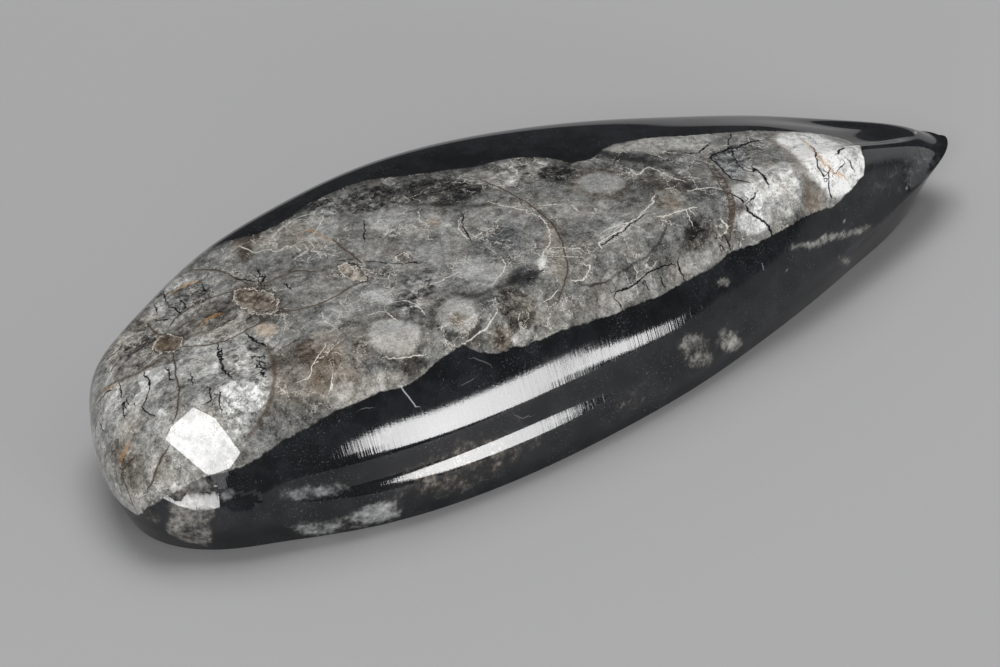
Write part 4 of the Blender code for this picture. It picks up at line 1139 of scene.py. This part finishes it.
@dataclass(frozen=True)
class PolishedLimestone:
    """Black limestone and grey calcite under one hand polish."""

    neutral: Tuple[Tuple[float, Triple], ...] = (
        (0.0, (0.012, 0.012, 0.012)), (0.25, (0.068, 0.068, 0.064)), (0.5, (0.218, 0.218, 0.204)),
        (0.75, (0.450, 0.448, 0.425)), (1.0, (0.84, 0.84, 0.82)),
    )
    brown: Tuple[Tuple[float, Triple], ...] = (
        (0.0, (0.018, 0.013, 0.009)), (0.25, (0.095, 0.068, 0.045)), (0.5, (0.265, 0.205, 0.145)),
        (0.75, (0.52, 0.44, 0.345)), (1.0, (0.86, 0.79, 0.68)),
    )
    slate: Tuple[Tuple[float, Triple], ...] = (
        (0.0, (0.010, 0.011, 0.014)), (0.25, (0.060, 0.066, 0.076)), (0.5, (0.200, 0.215, 0.235)),
        (0.75, (0.44, 0.465, 0.50)), (1.0, (0.82, 0.85, 0.88)),
    )
    charcoal: Triple = (0.0065, 0.0070, 0.0078)
    graphite: Triple = (0.017, 0.018, 0.020)
    fleck: Triple = (0.22, 0.235, 0.25)
    seam: Triple = (0.050, 0.035, 0.024)
    seam_halo: Triple = (0.14, 0.10, 0.065)
    rust: Triple = (0.50, 0.25, 0.065)
    scratch: Triple = (0.55, 0.56, 0.58)
    line_softness: float = 0.06
    crack: Triple = (0.010, 0.010, 0.011)
    vein: Triple = (0.70, 0.67, 0.60)
    sparkle: Triple = (0.80, 0.79, 0.74)
    # The soot colour also paints the shade round the pits.
    soot: Triple = (0.020, 0.019, 0.018)
    crumb_rim: Triple = (0.72, 0.66, 0.57)
    polish: float = 0.022
    crumbly: float = 0.70
    relief: float = 0.12
    striae: float = 0.11
    striae_period: float = 0.21
    refraction: float = 1.5

    def line(self, net: Net, name: str, waver: Shade, inner: float, outer: float) -> Shade:
        """Mask of the thin lines of one family.

        Args:
            net: the material's nodes.
            name: the family's attribute.
            waver: shift that makes the lines irregular, in millimetres.
            inner: share of the half width that has the full colour.
            outer: share of the half width where the colour ends.
        Returns:
            The mask, 1 on the lines.
        """
        signed, away, width = net.parts(net.attribute(name, "Vector"))
        half = width * 0.5
        off = abs(signed + waver)
        across = off.step(half * inner, half * outer + self.line_softness, 1.0, 0.0)
        return across * away.step(half + 0.35, half + 1.0, 1.0, 0.0)

    def material(self) -> bpy.types.Material:
        """Build the finish from the attributes on the mesh."""
        material = bpy.data.materials.new(SLOT)
        net = Net(material)
        place = net.add("ShaderNodeTexCoord", {}, {}, "Object")
        place = net.scaled(place, (1 / MM, 1 / MM, 1 / MM))
        slow = net.noise(place, 3.0, 3.0, 0.6) - 0.5
        quick = net.noise(place, 0.8, 2.0, 0.6) - 0.5
        fine = net.noise(place, 0.22, 2.0, 0.7)
        waver = slow * 0.8 + quick * 0.35
        shell = net.attribute("shell") + slow * 0.9 + quick * 0.6
        shell_mask = shell.step(-0.10, 0.14)

        tone, warmth, mottle = net.parts(net.attribute("calcite", "Vector"))
        pale, ground_tint_and_sheen, crumb = net.parts(net.attribute("ground", "Vector"))

        clouds = net.noise(place, 3.2, 7.0, 0.68) - 0.5
        grains = net.noise(place, 0.9, 4.0, 0.7) - 0.5
        bent = net.shifted(place, net.noise(place, 2.4, 3.0, 0.6, output=1), 2.6)
        crystal_tone = net.parts(net.cells(bent, 3.6, "F1", "Color"))[0] - 0.5
        joint = net.cells(bent, 3.6, "DISTANCE_TO_EDGE")
        level = tone + mottle * (clouds * 1.4 + grains * 1.5 + crystal_tone * 0.30) + (fine - 0.5) * 0.40
        tint = warmth * 1.1 - 0.06 + (net.noise(place, 4.5, 4.0, 0.6) - 0.52) * 0.8
        plain = net.ramp(level, self.neutral)
        warm = net.ramp(level, self.brown)
        cool = net.ramp(level, self.slate)
        calcite = net.mix(tint.held(), plain, warm)
        calcite = net.mix((tint * -1.0).held(), calcite, cool)

        presence = net.noise(place, 5.5, 3.0, 0.55)
        wisp_noise = net.noise(place, 4.2, 6.0, 0.62)
        wisps = abs(wisp_noise - 0.5).step(0.0, 0.011, 1.0, 0.0) * presence.step(0.46, 0.60)
        thread_noise = net.noise(place, 2.1, 5.0, 0.62)
        threads = abs(thread_noise - 0.47).step(0.0, 0.010, 1.0, 0.0) * presence.step(0.54, 0.40)
        calcite = net.mix(threads * mottle * 0.8, calcite, self.soot)
        far = net.parts(place)[1].step(2.0, 8.0)
        calcite = net.mix(shell.step(2.2, -0.4) * far * (clouds * 1.6 + 0.7).held(), calcite, self.soot)
        cleft = joint.step(0.0, 0.035, 1.0, 0.0) * presence.step(0.58, 0.45)
        calcite = net.mix(cleft * mottle * 0.45, calcite, self.soot)
        suture = joint.step(0.0, 0.030, 1.0, 0.0) * presence.step(0.50, 0.60) * fine.step(0.38, 0.62)
        calcite = net.mix(suture * 0.85, calcite, self.vein)
        calcite = net.mix(wisps * (0.2 + fine * 1.3) * 0.8, calcite, self.vein)
        calcite = net.mix(fine.step(0.66, 0.73) * presence.step(0.60, 0.46) * 0.6, calcite, self.sparkle)
        calcite = net.mix(fine.step(0.375, 0.30) * (0.35 + mottle * 0.7), calcite, self.soot)

        soot = self.line(net, "soot", waver * 1.5, 0.1, 1.3) * (net.noise(place, 2.0, 4.0, 0.7) * 1.8 - 0.1)
        calcite = net.mix(soot.held() * 0.85, calcite, self.soot)
        faint = (1.15 - net.parts(net.attribute("seam", "Vector"))[2] * 0.75).held()
        calcite = net.mix(self.line(net, "seam", waver, 0.0, 1.9) * 0.4, calcite, self.seam_halo)
        calcite = net.mix(self.line(net, "seam", waver, 0.2, 0.8) * faint * 0.9, calcite, self.seam)
        rust = self.line(net, "rust", waver * 2.2, 0.1, 1.3) * fine.step(0.40, 0.56)
        calcite = net.mix(rust.held() * 0.85, calcite, self.rust)
        vein = self.line(net, "vein", waver * 1.6, 0.1, 0.6) * fine.step(0.32, 0.50)
        calcite = net.mix(vein.held(), calcite, self.vein)
        calcite = net.mix(self.line(net, "crack", waver * 1.8, 0.4, 1.1), calcite, self.crack)
        broken = crumb + (grains * 1.8 + quick * 0.9 + (fine - 0.5) * 0.5) * crumb.step(0.0, 0.1)
        # Painted shade: a broken dark ring in the soot colour just outside the pale rim of each pit.
        shade = broken.step(0.16, 0.30) * broken.step(0.52, 0.40)
        calcite = net.mix(shade * 0.85, calcite, self.soot)
        rim = broken.step(0.37, 0.43) * broken.step(0.58, 0.48)
        calcite = net.mix(rim * fine.step(0.34, 0.48), calcite, self.crumb_rim)

        smoke = net.noise(place, 5.0, 6.0, 0.7)
        flecks = fine.step(0.60, 0.72) * net.noise(place, 6.0, 3.0, 0.6).step(0.40, 0.62)
        dark = net.mix(smoke.step(0.35, 0.7), self.charcoal, self.graphite)
        dark = net.mix(flecks * 0.35, dark, self.fleck)
        # The ground patches hold the matrix's own tones and also painted highlights and a painted reflection,
        # pale and bluish, on the low front flank and along the keel.
        ground_level = pale + clouds * 0.9 + grains * 0.9
        ground_plain = net.ramp(ground_level, self.neutral)
        ground_cool = net.ramp(ground_level, self.slate)
        ground_warm = net.ramp(ground_level, self.brown)
        ground_patch = net.mix((ground_tint_and_sheen + slow * 0.3).held(), ground_plain, ground_warm)
        ground_patch = net.mix((ground_tint_and_sheen * -1.0).held(), ground_patch, ground_cool)
        patchy = pale + (clouds * 1.1 + grains * 0.7) * pale.step(0.0, 0.06)
        dark = net.mix(patchy.step(0.06, 0.50), dark, ground_patch)
        colour = net.mix(shell_mask, dark, calcite)
        keen = (net.parts(net.attribute("scratch", "Vector"))[2] * 5.0 - 0.45).held()
        colour = net.mix(self.line(net, "scratch", waver * 0.25, 0.1, 0.7) * keen, colour, self.scratch)

        wear = net.noise(place, 7.0, 4.0, 0.6)
        along = net.scaled(place, (1.0 / self.striae_period, 0.10, 0.10))
        striae = net.noise(along, 1.0, 2.0, 0.5) - 0.5
        up = net.parts(net.add("ShaderNodeNewGeometry", {}, {}, "Normal"))[2]
        flank = up.step(0.85, 0.60) * (1.0 - shell_mask)
        rough = self.polish + wear * 0.02 + flank * striae * 0.1 + crumb * (self.crumbly - self.polish)
        rippled = grains * (0.01 + shell_mask * 0.04 + crumb * 0.25) + (fine - 0.5) * 0.01
        height = striae * flank * self.striae + rippled
        normal = net.add(
            "ShaderNodeBump", {}, {"Height": height, "Strength": 1.0, "Distance": self.relief * MM}, 0
        )
        surface = net.add(
            "ShaderNodeBsdfPrincipled", {},
            {"Base Color": colour, "Roughness": rough, "Normal": normal, "IOR": self.refraction}, 0,
        )
        net.finish(surface)
        return material


# ----------------------------------------------------------------------- stone


@dataclass
class OrthocerasStone:
    """The whole fossil: its ground and pitted mesh, markings, layout and finish."""

    form: StoneForm = field(default_factory=StoneForm)
    markings: FossilMarkings = field(default_factory=FossilMarkings)
    finish: PolishedLimestone = field(default_factory=PolishedLimestone)
    pits: Tuple[Pit, ...] = (
        Pit((-49.45, 4.5), (1.9, 1.1), 0.7, 90.0),
        Pit((-37.65, 2.5), (3.8, 1.6), 0.5, 100.0),
        Pit((-26.35, -1.0), (2.0, 0.75), 0.5, 102.0),
        Pit((-19.5, -2.4), (0.9, 0.6), 0.3, 60.0),
    )
    sharp_angle: float = 12.0
    ragged: float = 0.35
    ragged_size: float = 0.9
    base_slope: float = -0.6
    unfolding_height: float = 22.0
    layout_margin: float = 2.0

    def build(self) -> bpy.types.Object:
        """Make the piece and its finish."""
        mesh = self.form.smoothed()
        body = bmesh.new()
        body.from_mesh(mesh)
        self.form.straighten(body)
        self.form.grind(body)
        body.normal_update()
        for face in body.faces:
            face.smooth = True
        for edge in body.edges:
            if edge.calc_face_angle(0.0) > math.radians(self.sharp_angle):
                edge.smooth = False
        surface = StoneSurface(body)
        self.crumble(body, surface)
        body.to_mesh(mesh)
        body.free()
        self.markings.mark(surface, mesh)
        self.lay_out(mesh)
        mesh.materials.clear()
        mesh.materials.append(self.finish.material())
        mesh.name = NODE
        piece = bpy.data.objects.new("polished_stone", mesh)
        bpy.context.scene.collection.objects.link(piece)
        return piece

    def crumble(self, body: bmesh.types.BMesh, surface: StoneSurface) -> None:
        """Sink the pits into the top, each with a ragged edge and a rough floor."""
        upward = surface.normals[:, 2] > 0.3
        for pit in self.pits:
            turn = math.radians(pit.turn)
            shift = surface.places[:, :2] - np.array(pit.place)
            u = (shift[:, 0] * math.cos(turn) + shift[:, 1] * math.sin(turn)) / pit.half_widths[0]
            v = (shift[:, 1] * math.cos(turn) - shift[:, 0] * math.sin(turn)) / pit.half_widths[1]
            out = np.sqrt(u * u + v * v)
            for index in np.nonzero((out < 2.0) & upward)[0]:
                corner = body.verts[index]
                rough = perlin.noise(Vector(surface.places[index]) / self.ragged_size)
                share = float(smoothstep(1.1, 0.6, np.array(out[index] + self.ragged * rough)))
                depth = pit.depth * share * (1.0 + self.ragged * rough)
                corner.co -= corner.normal * depth * MM

    def lay_out(self, mesh: bpy.types.Mesh) -> None:
        """Unfold top and flanks as one sheet, with the underside beside it."""
        count = len(mesh.vertices)
        places = np.zeros(count * 3)
        mesh.vertices.foreach_get("co", places)
        places = places.reshape(-1, 3) / MM
        starts = np.zeros(len(mesh.polygons), dtype=int)
        totals = np.zeros(len(mesh.polygons), dtype=int)
        facings = np.zeros(len(mesh.polygons) * 3)
        corners = np.zeros(len(mesh.loops), dtype=int)
        mesh.polygons.foreach_get("loop_start", starts)
        mesh.polygons.foreach_get("loop_total", totals)
        mesh.polygons.foreach_get("normal", facings)
        mesh.loops.foreach_get("vertex_index", corners)
        facings = facings.reshape(-1, 3)
        of_face = np.repeat(np.arange(len(starts)), totals)
        under = facings[of_face, 2] < self.base_slope
        leaning = np.zeros((count, 3))
        np.add.at(leaning, corners[~under], facings[of_face[~under]])
        leaning /= np.maximum(np.linalg.norm(leaning, axis=1), 1e-9)[:, None]
        drop = (self.unfolding_height - places[:, 2])[:, None]
        unfolded = places[:, :2] + leaning[:, :2] * drop
        sheet = unfolded[corners]
        base = places[corners][:, :2]
        low = sheet[~under].min(axis=0) - self.layout_margin
        high = sheet[~under].max(axis=0) + self.layout_margin
        size = high[0] - low[0]
        flat = (sheet - low) / size
        below = (base - base[under].min(axis=0) + self.layout_margin) / size
        below[:, 1] += (high[1] - low[1]) / size
        layout = mesh.uv_layers.new(name="OFBake")
        layout.uv.foreach_set("vector", np.where(under[:, None], below, flat).astype(np.float32).ravel())


# ---------------------------------------------------------------------- studio


@dataclass(frozen=True)
class SoftLight:
    """Rectangular soft light that faces the stone."""

    name: str
    azimuth: float
    elevation: float
    distance: float
    width: float
    height: float
    radiance: float
    tilt: float = 0.0
    glints: bool = True
    spread: float = 180.0
    aim: Triple = (0.0, 0.0, 10.0)

    @property
    def gain(self) -> float:
        """How much brighter the spread makes the light along its axis."""
        half = math.radians(self.spread) / 2.0
        return 1.0 if self.spread > 179.0 else math.tan(half) / (math.tan(half) - half)

    def place(self) -> None:
        """Set the light up."""
        lamp = bpy.data.lights.new(self.name, "AREA")
        lamp.shape = "RECTANGLE"
        lamp.size = self.width
        lamp.size_y = self.height
        lamp.spread = math.radians(self.spread)
        lamp.energy = self.radiance * math.pi * self.width * self.height / self.gain
        holder = bpy.data.objects.new(self.name, lamp)
        way = facing(self.azimuth, self.elevation)
        holder.location = Vector(self.aim) * MM + way * self.distance
        turn = way.to_track_quat("Z", "Y").to_matrix() @ Matrix.Rotation(math.radians(self.tilt), 3, "Z")
        holder.rotation_euler = turn.to_euler()
        holder.visible_camera = False
        holder.visible_glossy = self.glints
        bpy.context.scene.collection.objects.link(holder)


@dataclass
class Studio:
    """Pale floor, dim room and soft lights."""

    floor_size: float = 3.0
    floor_drop: float = 0.02
    floor_colour: Triple = (0.42, 0.42, 0.42)
    floor_roughness: float = 0.6
    room: Triple = (0.30, 0.30, 0.31)
    room_in_gloss: Triple = (0.06, 0.06, 0.065)
    lights: Tuple[SoftLight, ...] = (
        SoftLight("strip", -75.0, 5.9, 1.0, 0.56, 0.125, 20.0, tilt=-10.0, spread=90.0),
        SoftLight("strip_start", -93.0, 9.4, 1.0, 0.12, 0.06, 12.0, tilt=-9.0, spread=90.0),
        SoftLight("strip_end", -54.5, 2.6, 1.0, 0.16, 0.06, 16.0, tilt=-22.0, spread=90.0),
        SoftLight("near_camera", -131.0, 32.0, 1.0, 0.20, 0.20, 15.0),
        SoftLight("end_light", -133.0, 4.7, 1.0, 0.17, 0.10, 12.0),
        SoftLight("end_fill", -132.0, 4.7, 1.0, 0.35, 0.10, 12.0, glints=False),
        SoftLight("end_card", -134.0, 16.0, 1.0, 0.34, 0.20, 2.0),
        SoftLight("tip_card", -9.0, 9.0, 1.0, 0.8, 0.25, 0.7),
        SoftLight("overhead", 60.0, 70.0, 1.2, 0.8, 0.8, 4.6, glints=False),
    )

    def build(self) -> None:
        """Set up the floor, the room and the lights."""
        floor = self.floor()
        scene = bpy.context.scene
        scene.world = self.surroundings()
        scene.view_settings.view_transform = "Standard"
        for light in self.lights:
            light.place()

    def surroundings(self) -> bpy.types.World:
        """Dim even room, flagged black where the gloss would mirror it."""
        world = bpy.data.worlds.new("room")
        net = Net(world)
        mirrored = net.add("ShaderNodeLightPath", {}, {}, "Is Glossy Ray")
        colour = net.mix(mirrored, self.room, self.room_in_gloss)
        net.finish(net.add("ShaderNodeBackground", {}, {"Color": colour}, 0), "ShaderNodeOutputWorld")
        return world

    def floor(self) -> bpy.types.Object:
        """Flat sheet under the stone."""
        shape = bmesh.new()
        bmesh.ops.create_grid(shape, x_segments=1, y_segments=1, size=self.floor_size / 2.0)
        mesh = bpy.data.meshes.new("floor")
        shape.to_mesh(mesh)
        shape.free()
        material = bpy.data.materials.new("floor")
        net = Net(material)
        net.finish(net.add(
            "ShaderNodeBsdfPrincipled", {},
            {"Base Color": (*self.floor_colour, 1.0), "Roughness": self.floor_roughness}, 0,
        ))
        mesh.materials.append(material)
        floor = bpy.data.objects.new("floor", mesh)
        floor.location.z = -self.floor_drop * MM
        bpy.context.scene.collection.objects.link(floor)
        return floor


@dataclass
class Viewpoint:
    """Camera over the blunt end's front."""

    place: Triple = (-205.7, -356.1, 278.2)
    ahead: Triple = (0.4062, 0.7227, -0.5592)
    roll: float = -4.52
    lens: float = 139.17
    sensor: float = 36.0
    near: float = 0.01

    def build(self) -> None:
        """Make the camera and look through it."""
        camera = bpy.data.cameras.new("camera")
        camera.lens = self.lens
        camera.sensor_width = self.sensor
        camera.clip_start = self.near
        holder = bpy.data.objects.new("camera", camera)
        ahead = Vector(self.ahead).normalized()
        right = ahead.cross(Vector((0.0, 0.0, 1.0))).normalized()
        up = right.cross(ahead)
        axes = Matrix((right, up, -ahead)).transposed()
        turn = Matrix.Rotation(math.radians(self.roll), 3, "Z")
        holder.matrix_world = Matrix.Translation(Vector(self.place) * MM) @ (axes @ turn).to_4x4()
        bpy.context.scene.collection.objects.link(holder)
        bpy.context.scene.camera = holder


def main() -> None:
    """Build the fossil round its frame, then the studio and the camera."""
    logging.basicConfig(level=logging.INFO, format="%(name)s: %(message)s")
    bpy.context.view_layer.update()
    piece = OrthocerasStone().build()
    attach(piece, "root")
    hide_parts(NODE)
    log.info("%s: %d corners, %d faces", piece.name, len(piece.data.vertices), len(piece.data.polygons))
    Studio().build()
    Viewpoint().build()
    log.info("studio and camera in place")
    bpy.context.view_layer.update()


if __name__ == "__main__":
    main()
